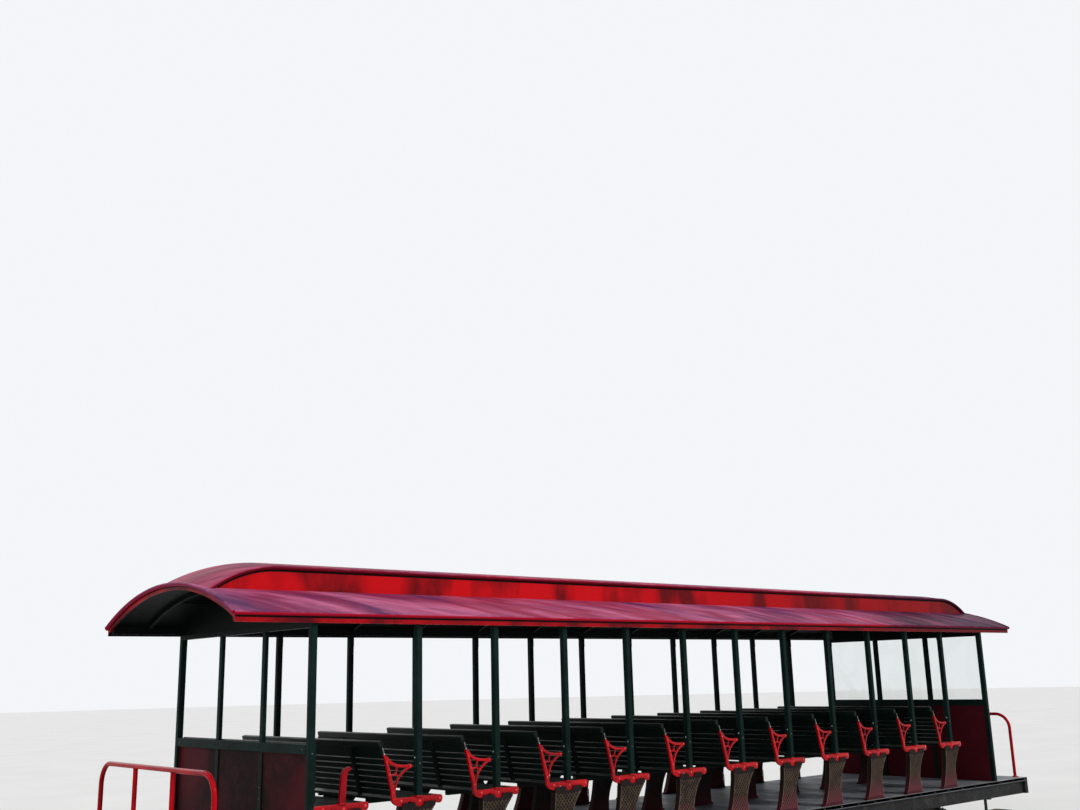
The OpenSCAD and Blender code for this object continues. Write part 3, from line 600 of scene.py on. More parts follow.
@dataclass(frozen=True)
class WheelSteel(Finish):
    """Cast wheel: dark rusty plate, bright band where the rail has polished tread and flange."""

    axle_x: float
    axle_z: float
    tread: float
    polished: Pair = (7 * MM, 3 * MM)
    plate: Colour = srgb(74, 62, 54)
    rust: Colour = srgb(104, 66, 44)
    bright: Colour = srgb(188, 186, 182)

    def dress(self, graph: Graph) -> None:
        """Builds the wheel steel.

        Args:
            graph: The material's node tree.
        """
        x_place, _, z_place = graph.axes(graph.coordinates)
        far_x = graph.math("SUBTRACT", x_place, self.axle_x)
        far_z = graph.math("SUBTRACT", z_place, self.axle_z)
        square = graph.plus(graph.times(far_x, far_x), graph.times(far_z, far_z))
        radius = graph.math("SQRT", square)
        polish = graph.remap(radius, *(self.tread - inset for inset in self.polished))
        blotch = graph.noise(28.0, 6.0, distortion=0.6)
        body = graph.mix(graph.remap(blotch, 0.4, 0.68), self.plate, self.rust)
        shine = graph.times(polish, graph.remap(blotch, 0.2, 0.6, 0.7, 1.0))
        body = graph.mix(shine, body, self.bright)
        graph.set(
            Base_Color=body,
            Metallic=graph.times(shine, 0.9),
            Roughness=graph.remap(polish, 0.0, 1.0, 0.72, 0.3),
        )
        graph.bump(graph.noise(180.0, 4.0), 0.8 * MM, 0.6)


@dataclass(frozen=True)
class Glass(Finish):
    """Clear pane with a faint grey tint and wiping marks."""

    tint: Colour
    smear: Colour = srgb(214, 216, 214)

    def dress(self, graph: Graph) -> None:
        """Builds the pane.

        Args:
            graph: The material's node tree.
        """
        smears = graph.noise(3.0, 4.0, graph.scaled((1.0, 1.0, 0.7)), 0.8)
        graph.set(
            Base_Color=graph.mix(graph.remap(smears, 0.4, 0.8, 0.0, 0.4), self.tint, self.smear),
            Roughness=graph.remap(smears, 0.4, 0.75, 0.02, 0.16),
            Transmission_Weight=1.0,
            IOR=1.1,
        )
        graph.bump(graph.noise(2.0, 2.0), 1.0 * MM, 0.15)


# Dark green lining paint, deepened to near black as painted shade under the roof.
SHADED_LINING = srgb(8, 11, 10)

LOWER_ROOF = RoofPaint(
    "lower_roof_paint", "roof_red", srgb(148, 42, 70), srgb(86, 40, 82), srgb(190, 102, 138),
    srgb(26, 20, 42), srgb(160, 16, 36), (5.378, 1.172),
)
UPPER_ROOF = RoofPaint(
    "upper_roof_paint", "roof_red", srgb(146, 28, 52), srgb(94, 28, 62), srgb(184, 80, 112),
    srgb(60, 30, 54), srgb(104, 14, 30), (5.378, 0.612),
)
# The fascias darken towards the front as painted shade, and take the near-black lining colour on their inward
# faces as painted shade.
FASCIA_RED = Enamel(
    "fascia_enamel", "fascia_red", srgb(156, 10, 20), srgb(84, 8, 18), srgb(170, 28, 38),
    rough=(0.34, 0.5), gloss=0.06, mottle=2.6, spread=(0.4, 0.6), fade=0.3, ripple=0.4, inside=SHADED_LINING,
    front_shade=0.85,
)
# The clerestory's slow, tall dark blotches are painted shadows, and it darkens towards the front as painted
# shade.
CLERESTORY_RED = Enamel(
    "clerestory_enamel", "fascia_red", srgb(192, 10, 20), srgb(96, 8, 16), srgb(204, 28, 32),
    rough=(0.34, 0.5), gloss=0.06, mottle=1.7, stretch=(1.0, 1.0, 0.35), spread=(0.45, 0.58), fade=0.2,
    ripple=0.5, front_shade=0.65,
)
CASTING_RED = Enamel(
    "casting_enamel", "red_casting", srgb(178, 7, 18), srgb(128, 5, 15), srgb(196, 26, 32),
    rough=(0.2, 0.34), gloss=0.16, mottle=3.5, fade=0.25, dust=0.03, ripple=0.35, pits=0.12, chips=0.06,
)
# A lighter red than the castings for their bolt heads: a painted highlight.
LIT_BOLT_RED = Enamel(
    "casting_bolt_painted_highlight", "red_casting", srgb(206, 30, 36), srgb(176, 18, 26), srgb(222, 70, 66),
    rough=(0.14, 0.26), gloss=0.5, mottle=9.0, fade=0.3, dust=0.0, ripple=0.2,
)
TUBE_RED = Enamel(
    "tube_enamel", "red_tube", srgb(182, 7, 19), srgb(126, 5, 17), srgb(198, 26, 34),
    rough=(0.12, 0.22), gloss=0.06, mottle=3.0, fade=0.2, ripple=0.3, chips=0.2, dust=0.0,
)
# A darker copy of the casting red for the rearmost grip: painted shade.
SHADED_GRIP_RED = Enamel(
    "grip_enamel_painted_shade", "red_tube", srgb(140, 6, 18), srgb(92, 4, 16), srgb(160, 22, 30),
    rough=(0.24, 0.38), gloss=0.1, mottle=5.0, fade=0.2, ripple=0.3, dust=0.0,
)
POST_GREEN = Enamel(
    "post_enamel", "green_paint", srgb(16, 35, 32), srgb(10, 23, 21), srgb(29, 48, 45),
    rough=(0.32, 0.48), gloss=0.03, mottle=3.0, fade=0.35, ripple=0.4, chips=0.1, dust=0.05,
)
# Dark green paint for the parts under the roof, deepened as painted shade.
SHADED_DARK_GREEN = Enamel(
    "lining_paint", "dark_green_paint", srgb(10, 14, 13), srgb(6, 9, 8), srgb(16, 21, 19),
    rough=(0.45, 0.62), gloss=0.06, mottle=2.5, fade=0.3, ripple=0.3, dust=0.0,
)
# Near-black strips under the rims: painted shadow.
RIM_SHADOW = Enamel(
    "rim_painted_shadow", "dark_green_paint", srgb(20, 10, 12), srgb(12, 8, 9), srgb(34, 18, 20),
    rough=(0.5, 0.7), gloss=0.06, mottle=5.0, fade=0.3, ripple=0.2, dust=0.0,
)
CAP_GREEN = PaintedWood(
    "cap_rail_paint", "dark_green_paint", srgb(10, 19, 17), srgb(22, 34, 30), (1.0, 0.05, 1.0),
    rough=(0.28, 0.44), wear=0.5, gloss=0.08, dust=0.04,
)
SLAT_GREEN = PaintedWood(
    "slat_paint", "slat_green", srgb(7, 18, 15), srgb(14, 29, 25), (1.0, 0.05, 1.0),
    rough=(0.28, 0.46), wear=0.35, gloss=0.06, dust=0.025,
)
# The panels' slow, soft dark blotches are painted shade over their maroon.
MAROON = Enamel(
    "panel_enamel", "maroon_panel", srgb(70, 19, 27), srgb(28, 13, 14), srgb(84, 32, 36),
    rough=(0.36, 0.52), gloss=0.02, mottle=1.15, spread=(0.42, 0.6), fade=0.3, ripple=0.5, chips=0.1,
    dust=0.05,
)
LEG_IRON = CastIron(
    "leg_casting", "leg_iron", srgb(31, 23, 22), srgb(18, 14, 14), foot=srgb(70, 25, 34),
)
# A lighter copy of the leg iron for the raised lattice: a painted highlight on the ridges.
LIT_LEG_RIDGE = CastIron(
    "leg_lattice_painted_highlight", "leg_iron", srgb(94, 80, 64), srgb(58, 48, 42), foot=srgb(136, 68, 80),
    grain=0.4,
)
BLACK_STEEL = Enamel(
    "frame_paint", "black_steel", srgb(30, 32, 34), srgb(18, 20, 21), srgb(62, 58, 53),
    rough=(0.45, 0.65), gloss=0.12, mottle=5.0, fade=0.6, dust=0.5, ripple=0.3, chips=0.5,
    chip_colour=srgb(84, 52, 36),
)
TRUCK_IRON = CastIron(
    "truck_casting", "truck_iron", srgb(44, 44, 44), srgb(27, 27, 28), foot=srgb(80, 60, 46),
    foot_z=(0.1, 0.46),
)
COUPLER_IRON = CastIron(
    "coupler_casting", "coupler_iron", srgb(48, 43, 40), srgb(28, 26, 25), foot=srgb(78, 50, 36),
    foot_z=(0.3, 0.6), rough=(0.4, 0.6),
)
STEP_WOOD = PaintedWood(
    "step_plank", "step_wood", srgb(100, 87, 72), srgb(134, 120, 102), (0.04, 1.0, 1.0),
    rough=(0.6, 0.85), wear=0.8, bare=srgb(150, 138, 120), dust=0.3,
)
DECK = DeckPaint(
    "deck_paint", "floor_grey", srgb(92, 96, 102), srgb(132, 136, 140), srgb(58, 58, 58), sheet=1.22,
)
ZINC = BareSteel("zinc_bolt", "black_steel", srgb(176, 178, 176), srgb(112, 110, 104))
DULL_BOLT = BareSteel("dull_bolt", "black_steel", srgb(96, 104, 98), srgb(44, 50, 46), (0.34, 0.55))
NOSING = BareSteel("nosing_strip", "floor_grey", srgb(170, 172, 172), srgb(112, 112, 108), (0.34, 0.55))
PANE = Glass("window_pane", "window_glass", srgb(238, 241, 240))


UP = (0, 0, 1)
DOWN = (0, 0, -1)
LEFT = (0, 1, 0)
REAR = (-1, 0, 0)
SIDES = (-1, 1)


def at(x: float, y: float, z: float, out: Sequence[float]) -> Place:
    """Returns the place of a fastener: a point, and the direction that its head faces."""
    return Vector((x, y, z)), Vector(out)


def swing(direction: Sequence[float]) -> Matrix:
    """Returns the turn that swings +Z to a direction."""
    return Vector(direction).to_track_quat("Z", "Y").to_matrix().to_4x4()


def stations(length: float, step: float) -> list[float]:
    """Spaces points evenly about the middle of a length.

    Args:
        length: The length.
        step: From one point to the next.

    Returns:
        Where each point lies, from the middle.
    """
    count = int(length / step)
    return [(n - count / 2) * step for n in range(count + 1)]


def round_section(radius: float, count: int) -> list[Pair]:
    """Returns the corners of a round section."""
    angles = [2 * math.pi * k / count for k in range(count)]
    return [(radius * math.cos(angle), radius * math.sin(angle)) for angle in angles]


def ring_frame(centre: Vector, radius: float, angle: float) -> Matrix:
    """Works out the frame of a section that runs round an upright axis.

    Args:
        centre: A point on the axis, level with the section.
        radius: How far the section lies from the axis.
        angle: Where it is on its way round, in radians.

    Returns:
        The frame.
    """
    spot = centre + Vector((math.cos(angle), math.sin(angle), 0)) * radius
    return Matrix.Translation(spot) @ Matrix.Rotation(angle, 4, "Z") @ Matrix.Rotation(math.pi / 2, 4, "X")


def bevel(
    bm: bmesh.types.BMesh, edges: Sequence[bmesh.types.BMEdge], width: float, segments: int = 2
) -> None:
    """Bevels edges of a mesh.

    Args:
        bm: The mesh.
        edges: Its edges.
        width: Width of the bevel.
        segments: Steps across it.
    """
    bmesh.ops.bevel(
        bm, geom=edges, offset=width, affect="EDGES", segments=segments, profile=0.5, material=-1
    )


def to_mesh(bm: bmesh.types.BMesh, name: str) -> bpy.types.Mesh:
    """Turns a bmesh into a mesh, and ends the work on it.

    Args:
        bm: The bmesh.
        name: The mesh's name.

    Returns:
        The mesh.
    """
    mesh = bpy.data.meshes.new(name)
    bm.to_mesh(mesh)
    bm.free()
    return mesh


def add_object(name: str, data: bpy.types.ID) -> bpy.types.Object:
    """Adds an object to the scene.

    Args:
        name: Its name.
        data: Its mesh, lamp or camera.

    Returns:
        The object.
    """
    made = bpy.data.objects.new(name, data)
    bpy.context.scene.collection.objects.link(made)
    return made


class Head(Enum):
    """The kinds of fastener head on the coach."""

    DOME = "dome"
    HEX = "hex"
    SCREW = "screw"


@dataclass(frozen=True)
class Fastener:
    """One bolt, nut or screw head, modelled round +Z with its seat at the origin."""

    head: Head
    radius: float
    height: float

    def mesh(self) -> bpy.types.Mesh:
        """Models the head.

        Returns:
            A mesh that stamp() copies.
        """
        bm = bmesh.new()
        if self.head is Head.HEX:
            self.washer(bm)
            self.nut(bm)
        else:
            self.crown(bm, 12 if self.head is Head.DOME else 8)
        return to_mesh(bm, "fastener")

    def washer(self, bm: bmesh.types.BMesh) -> None:
        """Adds a thin washer under a nut.

        Args:
            bm: The mesh to add to.
        """
        bmesh.ops.create_cone(
            bm, cap_ends=True, segments=14, radius1=self.radius * 1.12, radius2=self.radius * 1.05,
            depth=self.height * 0.24, matrix=Matrix.Translation((0, 0, self.height * 0.12)),
        )

    def nut(self, bm: bmesh.types.BMesh) -> None:
        """Adds a six-sided nut with its top edges bevelled.

        Args:
            bm: The mesh to add to.
        """
        across = self.radius * 0.82
        made = bmesh.ops.create_cone(
            bm, cap_ends=True, segments=6, radius1=across, radius2=across, depth=self.height,
            matrix=Matrix.Translation((0, 0, self.height * 0.62)),
        )
        top = max(v.co.z for v in made["verts"])
        rim = [e for e in bm.edges if all(abs(v.co.z - top) < 1e-6 for v in e.verts)]
        bevel(bm, rim, self.radius * 0.12, 1)

    def crown(self, bm: bmesh.types.BMesh, steps: int) -> None:
        """Spins a domed profile round the axis.

        Args:
            bm: The mesh to add to.
            steps: Faces round the head.
        """
        share = [(1.0, 0.0), (1.0, 0.18), (0.84, 0.6), (0.5, 0.92), (0.0, 1.0)]
        ring = [bm.verts.new((self.radius * x, 0, self.height * z)) for x, z in share]
        edges = [bm.edges.new(pair) for pair in zip(ring, ring[1:])]
        bmesh.ops.spin(
            bm, geom=ring + edges, axis=(0, 0, 1), cent=(0, 0, 0), angle=2 * math.pi, steps=steps,
            use_merge=True,
        )
        bmesh.ops.remove_doubles(bm, verts=bm.verts, dist=1e-6)
        bmesh.ops.recalc_face_normals(bm, faces=bm.faces)


class Modeller:
    """Builds one piece in a bmesh and hands it to the scene."""

    def __init__(self, name: str) -> None:
        """Starts an empty piece.

        Args:
            name: The piece's name.
        """
        self.name = name
        self.bm = bmesh.new()

    def box(self, low: Sequence[float], high: Sequence[float], round_by: float = 0.0) -> None:
        """Adds a box.

        Args:
            low: One corner.
            high: The corner across from it.
            round_by: Width of the bevel on its edges.
        """
        size = [abs(b - a) for a, b in zip(low, high)]
        self.slab(Matrix.Translation((Vector(low) + Vector(high)) / 2), size, round_by)

    def slab(self, place: Matrix, size: Sequence[float], round_by: float = 0.0) -> None:
        """Adds a box about the middle of a place.

        Args:
            place: Where its middle is and how it is turned.
            size: Its three sides.
            round_by: Width of the bevel on its edges.
        """
        made = bmesh.ops.create_cube(self.bm, size=1.0, matrix=place @ Matrix.Diagonal((*size, 1.0)))
        if round_by:
            bevel(self.bm, list({e for v in made["verts"] for e in v.link_edges}), round_by)

    def rod(self, start: Sequence[float], end: Sequence[float], radius: float, segments: int = 16) -> None:
        """Adds a round rod between two points.

        Args:
            start: One end.
            end: The other end.
            radius: Its radius.
            segments: Faces round it.
        """
        a, b = Vector(start), Vector(end)
        bmesh.ops.create_cone(
            self.bm, cap_ends=True, segments=segments, radius1=radius, radius2=radius,
            depth=(b - a).length, matrix=Matrix.Translation((a + b) / 2) @ swing(b - a),
        )

    def stamp(self, template: bpy.types.Mesh, places: Iterable[Place | Matrix]) -> None:
        """Copies a small mesh to many places.

        Args:
            template: A mesh round +Z.
            places: Matrices, or pairs of a point and the direction that +Z turns to.
        """
        batch = bmesh.new()
        for place in places:
            matrix = place
            if not isinstance(place, Matrix):
                matrix = Matrix.Translation(place[0]) @ swing(place[1])
            first = len(batch.verts)
            batch.from_mesh(template)
            batch.verts.ensure_lookup_table()
            bmesh.ops.transform(batch, matrix=matrix, verts=batch.verts[first:])
        joined = to_mesh(batch, "batch")
        self.bm.from_mesh(joined)
        bpy.data.meshes.remove(joined)

    def sweep(self, outline: Sequence[Pair], frames: Sequence[Matrix], closed: bool = True) -> None:
        """Bridges copies of a small outline set along a path.

        Args:
            outline: The section, in each frame's XY plane.
            frames: One matrix for each ring.
            closed: Whether the first and last ring get caps.
        """
        rings = []
        for place in frames:
            verts = [self.bm.verts.new(place @ Vector((x, y, 0))) for x, y in outline]
            edges = [self.bm.edges.new(pair) for pair in zip(verts, verts[1:] + verts[:1])]
            rings.append((verts, edges))
        for (_, lower), (_, upper) in zip(rings, rings[1:]):
            bmesh.ops.bridge_loops(self.bm, edges=lower + upper)
        if closed:
            for verts, _ in (rings[0], rings[-1]):
                self.bm.faces.new(verts)

    def strip(self, path: Sequence[Triple], thick: float, round_by: float = 3 * MM) -> None:
        """Adds a flat bar with rounded edges, bent in the XZ plane.

        Args:
            path: Its stations, as (x, z, width).
            thick: Its thickness along Y.
            round_by: Radius on its edges.
        """
        mean = sum(width for _, _, width in path) / len(path)
        a, b = round_by / mean, round_by / thick
        corner = [(0.5, 0.5 - b), (0.5 - 0.3 * a, 0.5 - 0.3 * b), (0.5 - a, 0.5)]
        half = corner + [(-x, y) for x, y in reversed(corner)]
        outline = half + [(-x, -y) for x, y in half]
        spots = [Vector((x, 0, z)) for x, z, _ in path]
        side = Vector(LEFT)
        frames = []
        for index, (spot, (_, _, width)) in enumerate(zip(spots, path)):
            ahead = (spots[min(index + 1, len(path) - 1)] - spots[max(index - 1, 0)]).normalized()
            turn = Matrix((side.cross(ahead), side, ahead)).transposed().to_4x4()
            frames.append(Matrix.Translation(spot) @ turn @ Matrix.Diagonal((width, thick, 1, 1)))
        self.sweep(outline, frames)

    def plate(self, outline: Sequence[Pair], thick: float, round_by: float) -> None:
        """Adds a plate of any outline in the XZ plane, centred on Y, with rounded rims.

        Args:
            outline: Its outline, as (x, z).
            thick: Its thickness along Y.
            round_by: Width of the bevel on its rims.
        """
        before = set(self.bm.faces)
        face = self.bm.faces.new([self.bm.verts.new((x, -thick / 2, z)) for x, z in outline])
        made = bmesh.ops.extrude_face_region(self.bm, geom=[face])["geom"]
        moved = [item for item in made if isinstance(item, bmesh.types.BMVert)]
        bmesh.ops.translate(self.bm, verts=moved, vec=(0, thick, 0))
        sides = {e for f in self.bm.faces if f not in before for e in f.edges}
        rims = [e for e in sides if abs(e.verts[0].co.y - e.verts[1].co.y) < 1e-6]
        bevel(self.bm, rims, round_by)

    def template(self) -> bpy.types.Mesh:
        """Returns what has been built as a mesh for stamp(), and ends the work on it."""
        bmesh.ops.recalc_face_normals(self.bm, faces=self.bm.faces)
        return to_mesh(self.bm, self.name)

    def done(
        self, finish: Finish, body: str = "coach", smooth: float = 35.0, recalc: bool = False
    ) -> bpy.types.Object:
        """Makes the object, dresses it and sets it on its body.

        Args:
            finish: The piece's finish.
            body: The CAD body that it rides on.
            smooth: Angle in degrees above which an edge stays sharp.
            recalc: Whether the faces are turned outwards first.

        Returns:
            The finished object.
        """
        if recalc:
            bmesh.ops.recalc_face_normals(self.bm, faces=self.bm.faces)
        mesh = to_mesh(self.bm, self.name)
        mesh.polygons.foreach_set("use_smooth", [True] * len(mesh.polygons))
        mesh.set_sharp_from_angle(angle=math.radians(smooth))
        piece = add_object(self.name, mesh)
        mesh.materials.append(finish.material())
        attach(piece, body)
        log.info("%s: %d faces", self.name, len(mesh.polygons))
        return piece


def fasten(
    name: str, head: Fastener, places: Iterable[Place], finish: Finish, body: str = "coach"
) -> None:
    """Adds like fasteners as one piece.

    Args:
        name: The piece's name.
        head: The kind of fastener.
        places: Where each one sits.
        finish: The piece's finish.
        body: The CAD body that it rides on.
    """
    work = Modeller(name)
    work.stamp(head.mesh(), places)
    work.done(finish, body)


@dataclass
class Layout:
    """Places that several sub-assemblies share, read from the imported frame."""

    row_pitch: float = 0.762
    rows: int = 12
    post_size: float = 0.051
    casting_t: float = 0.024
    leg_t: float = 0.045
    grab_r: float = 0.019
    floor_z: float = field(init=False)
    deck_l: float = field(init=False)
    deck_w: float = field(init=False)
    post_y: float = field(init=False)
    corner_x: float = field(init=False)
    post_top: float = field(init=False)
    first_x: float = field(init=False)
    bench_xs: list[float] = field(init=False)
    row_xs: list[float] = field(init=False)

    def __post_init__(self) -> None:
        """Reads the frame's boxes."""
        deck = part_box("floor_deck")[1]
        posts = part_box("side_posts")[1]
        self.floor_z, self.deck_l, self.deck_w = deck.z, deck.x, deck.y
        self.post_y = posts.y - self.post_size / 2
        self.corner_x = posts.x - self.post_size / 2
        self.post_top = posts.z
        self.bench_xs = [(k - self.rows / 2) * self.row_pitch for k in range(1, self.rows)]
        self.first_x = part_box("grab_bars")[0].x + self.grab_r
        self.row_xs = [self.first_x, *self.bench_xs]

    def both_sides(self, places: Iterable[Place]) -> list[Place]:
        """Returns places on the coach's left side, and their mirror images on the right.

        Args:
            places: Points and directions with Y above 0.

        Returns:
            All of them.
        """
        listed = list(places)
        flip = Vector((1, -1, 1))
        return listed + [(point * flip, out * flip) for point, out in listed]


@dataclass
class SubAssembly:
    """A sub-assembly of the coach: it knows the shared places and the frame's nodes."""

    layout: Layout
    nodes: Nodes

    def build(self) -> None:
        """Dresses the nodes and adds the small pieces. Each sub-assembly has its own."""
        raise NotImplementedError

    def dress(self, finish: Finish, *names: str) -> None:
        """Gives CAD nodes their finish.

        Args:
            finish: The finish.
            *names: The nodes' names.
        """
        material = finish.material()
        for name in names:
            for slot in self.nodes[name].material_slots:
                slot.material = material


@dataclass
class Roof(SubAssembly):
    """Clerestory roof: sheets under the lower deck, dark strips of painted shadow under the rims, screws on
    the fascias.
    """

    crown_h: float = 2.134
    arch_rise: float = 0.275
    deck_t: float = 0.022
    side_rim: float = 0.014
    end_rim: float = 0.016
    well_half: float = 0.610
    bow_t: float = 0.032
    sheet_t: float = 0.008
    sheet_in: float = 0.030
    sheet_steps: int = 8
    seam: float = 0.004
    end_gap: float = 0.020
    hood_h: float = 2.240
    hood_r: float = 0.950
    hood_l: float = 0.627
    hood_turn: float = math.radians(32.5)
    hood_reach: float = 0.200
    shadow_t: float = 0.0015
    shadow_sunk: float = 0.5 * MM
    shadow_head: float = -20 * MM
    arch_shadow_foot: float = -31 * MM
    hood_shadow_foot: float = -38 * MM
    eave_shadow: Pair = (-14 * MM, 6 * MM)
    screw_step: float = 0.254
    screw_up: float = 0.018
    half_l: float = field(init=False)
    bend_x: float = field(init=False)
    radius: float = field(init=False)
    centre_z: float = field(init=False)

    def __post_init__(self) -> None:
        """Works the roof's arc out from the frame."""
        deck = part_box("roof_lower_deck")[1]
        self.half_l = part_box("arch_fascias")[1].x
        half_w = deck.y - self.side_rim
        self.bend_x = deck.x - self.end_rim - self.hood_l
        self.radius = (half_w ** 2 + self.arch_rise ** 2) / (2 * self.arch_rise)
        self.centre_z = self.layout.floor_z + self.crown_h - self.radius

    def build(self) -> None:
        """Dresses the roof's nodes and adds its pieces."""
        self.dress(LOWER_ROOF, "roof_lower_deck")
        self.dress(UPPER_ROOF, "roof_upper_deck", "duckbill_hoods")
        self.dress(FASCIA_RED, "eave_fascias", "arch_fascias")
        self.dress(CLERESTORY_RED, "clerestory_walls")
        self.dress(SHADED_DARK_GREEN, "roof_bows", "cantrails")
        self.lining()
        self.shadow_strips()
        self.fascia_screws()

    def lining(self) -> None:
        """Adds the bent sheets under the lower roof, in each bay between two bows."""
        work = Modeller("roof_lining_sheets")
        end, end_bow = self.half_l - self.end_gap, (self.layout.corner_x + self.half_l) / 2
        ends = [-end, -end_bow, *self.layout.bench_xs, end_bow, end]
        inner_r = self.radius - self.deck_t
        reach = math.asin((self.layout.post_y - self.sheet_in) / inner_r)
        well = math.asin(self.well_half / inner_r)
        joint = self.seam / inner_r / 2
        centre = Vector((0, 0, self.centre_z))
        for left, right in zip(ends, ends[1:]):
            x_low, x_high = left + self.bow_t / 2, right - self.bow_t / 2
            section = [(x_low, -self.sheet_t), (x_high, -self.sheet_t), (x_high, 0), (x_low, 0)]
            if abs(x_low + x_high) / 2 < self.bend_x - self.hood_reach:
                sheets = [(-reach, -well), (well, reach)]
            else:
                sheets = [(-reach, -reach / 3), (-reach / 3, reach / 3), (reach / 3, reach)]
            for low, high in sheets:
                step = (high - low - 2 * joint) / self.sheet_steps
                angles = [low + joint + step * n for n in range(self.sheet_steps + 1)]
                work.sweep(section, [self.turned(centre, "X", angle, inner_r) for angle in angles])
        work.done(SHADED_DARK_GREEN, recalc=True)

    def shadow_strips(self) -> None:
        """Adds dark strips of painted shadow where each rim meets its fascia or the clerestory wall."""
        work = Modeller("rim_shadow_strips")
        (low, high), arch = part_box("eave_fascias"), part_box("arch_fascias")[1]
        foot, head = (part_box("roof_lower_deck")[0].z + z for z in self.eave_shadow)
        wall_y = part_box("clerestory_walls")[1].y
        hood_z = self.layout.floor_z + self.hood_h - self.hood_r
        reach = math.asin(arch.y / self.radius)
        path = [(-self.bend_x, self.hood_turn * (n / 16 - 1)) for n in range(17)]
        path += [(self.bend_x, self.hood_turn * n / 16) for n in range(17)]
        for side in SIDES:
            work.box(
                (low.x, side * (high.y - self.shadow_sunk), foot),
                (high.x, side * (high.y + self.shadow_t), head),
            )
            centre = Vector((side * arch.x, 0, self.centre_z))
            work.sweep(self.shadow_strip_section(side, self.arch_shadow_foot), [
                self.turned(centre, "X", reach * (n / 32 - 1), self.radius) for n in range(65)
            ])
            work.sweep(self.shadow_strip_section(side, self.hood_shadow_foot), [
                self.turned(Vector((x, side * wall_y, hood_z)), "Y", angle, self.hood_r)
                for x, angle in path
            ])
        work.done(RIM_SHADOW, recalc=True)

    def shadow_strip_section(self, side: int, foot: float) -> list[Pair]:
        """Returns the section of a painted-shadow strip that faces one side.

        Args:
            side: Which way it faces, 1 or -1.
            foot: Its lower edge, from the arc of its rim.

        Returns:
            Its four corners.
        """
        back, front = -side * self.shadow_sunk, side * self.shadow_t
        return [(back, foot), (front, foot), (front, self.shadow_head), (back, self.shadow_head)]

    def turned(self, centre: Vector, axis: str, angle: float, radius: float) -> Matrix:
        """Returns the frame of a section that is swung about an axis of the coach.

        Args:
            centre: A point on the axis.
            axis: Which axis, "X" or "Y".
            angle: How far it is swung from straight above the point.
            radius: How far the section lies from the axis.

        Returns:
            A frame whose first axis lies along the axis, and whose second points away from it.
        """
        along, up = Vector((axis == "X", axis == "Y", 0)), Vector(UP)
        upright = Matrix((along, up, along.cross(up))).transposed().to_4x4()
        return (
            Matrix.Translation(centre) @ Matrix.Rotation(angle, 4, axis)
            @ Matrix.Translation((0, 0, radius)) @ upright
        )

    def fascia_screws(self) -> None:
        """Adds the round screw heads along both eaves."""
        low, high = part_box("eave_fascias")
        places = [
            at(x, high.y - 0.5 * MM, low.z + self.screw_up, LEFT)
            for x in stations(high.x - low.x, self.screw_step)
        ]
        head = Fastener(Head.SCREW, 6 * MM, 3 * MM)
        fasten("fascia_screws", head, self.layout.both_sides(places), FASCIA_RED)


@dataclass
class Posts(SubAssembly):
    """Side posts: bolts and rivets on their outer faces, plates with hex heads at their tops."""

    arm_z: float = 0.747
    below_arm: float = 0.060
    bench_z: float = 0.558
    below_top: float = 0.050
    plate: Triple = (0.044, 4 * MM, 0.100)
    plate_out: float = 2.4 * MM
    plate_below_top: float = 0.055
    nut_rise: float = 0.030

    def build(self) -> None:
        """Dresses the posts and adds their bolts and plates."""
        self.dress(POST_GREEN, "side_posts")
        self.bolts()
        self.top_plates()

    def bolts(self) -> None:
        """Adds a bright bolt at each arm, and painted rivets at the foot, bench and top."""
        lay = self.layout
        outer = lay.post_y + lay.post_size / 2 - 0.3 * MM
        painted = (self.arm_z - self.below_arm, self.bench_z, lay.post_top - lay.floor_z - self.below_top)
        for name, finish, radius, heights, corner_heights in (
            ("post_bolts", DULL_BOLT, 6 * MM, (self.arm_z,), (0.87,)),
            ("post_rivets", POST_GREEN, 8 * MM, painted, (0.06, 0.55, 1.75)),
        ):
            spots = [(x, z) for x in lay.bench_xs for z in heights]
            spots += [(x, z) for x in (-lay.corner_x, lay.corner_x) for z in corner_heights]
            places = [at(x, outer, lay.floor_z + z, LEFT) for x, z in spots]
            fasten(name, Fastener(Head.DOME, radius, 0.6 * radius), lay.both_sides(places), finish)

    def top_plates(self) -> None:
        """Adds a small plate on each post where it meets the wall plate, with two hex heads."""
        lay = self.layout
        work = Modeller("post_top_plates")
        height = lay.post_top - self.plate_below_top
        nuts = []
        for x in [-lay.corner_x, *lay.bench_xs, lay.corner_x]:
            for side in SIDES:
                y_in = side * (lay.post_y - lay.post_size / 2)
                work.slab(Matrix.Translation((x, y_in - side * self.plate_out, height)), self.plate, 1 * MM)
                for rise in (-self.nut_rise, self.nut_rise):
                    nuts.append(at(x, y_in - side * self.plate[1], height + rise, (0, -side, 0)))
        work.stamp(Fastener(Head.HEX, 9 * MM, 6 * MM).mesh(), nuts)
        work.done(POST_GREEN)


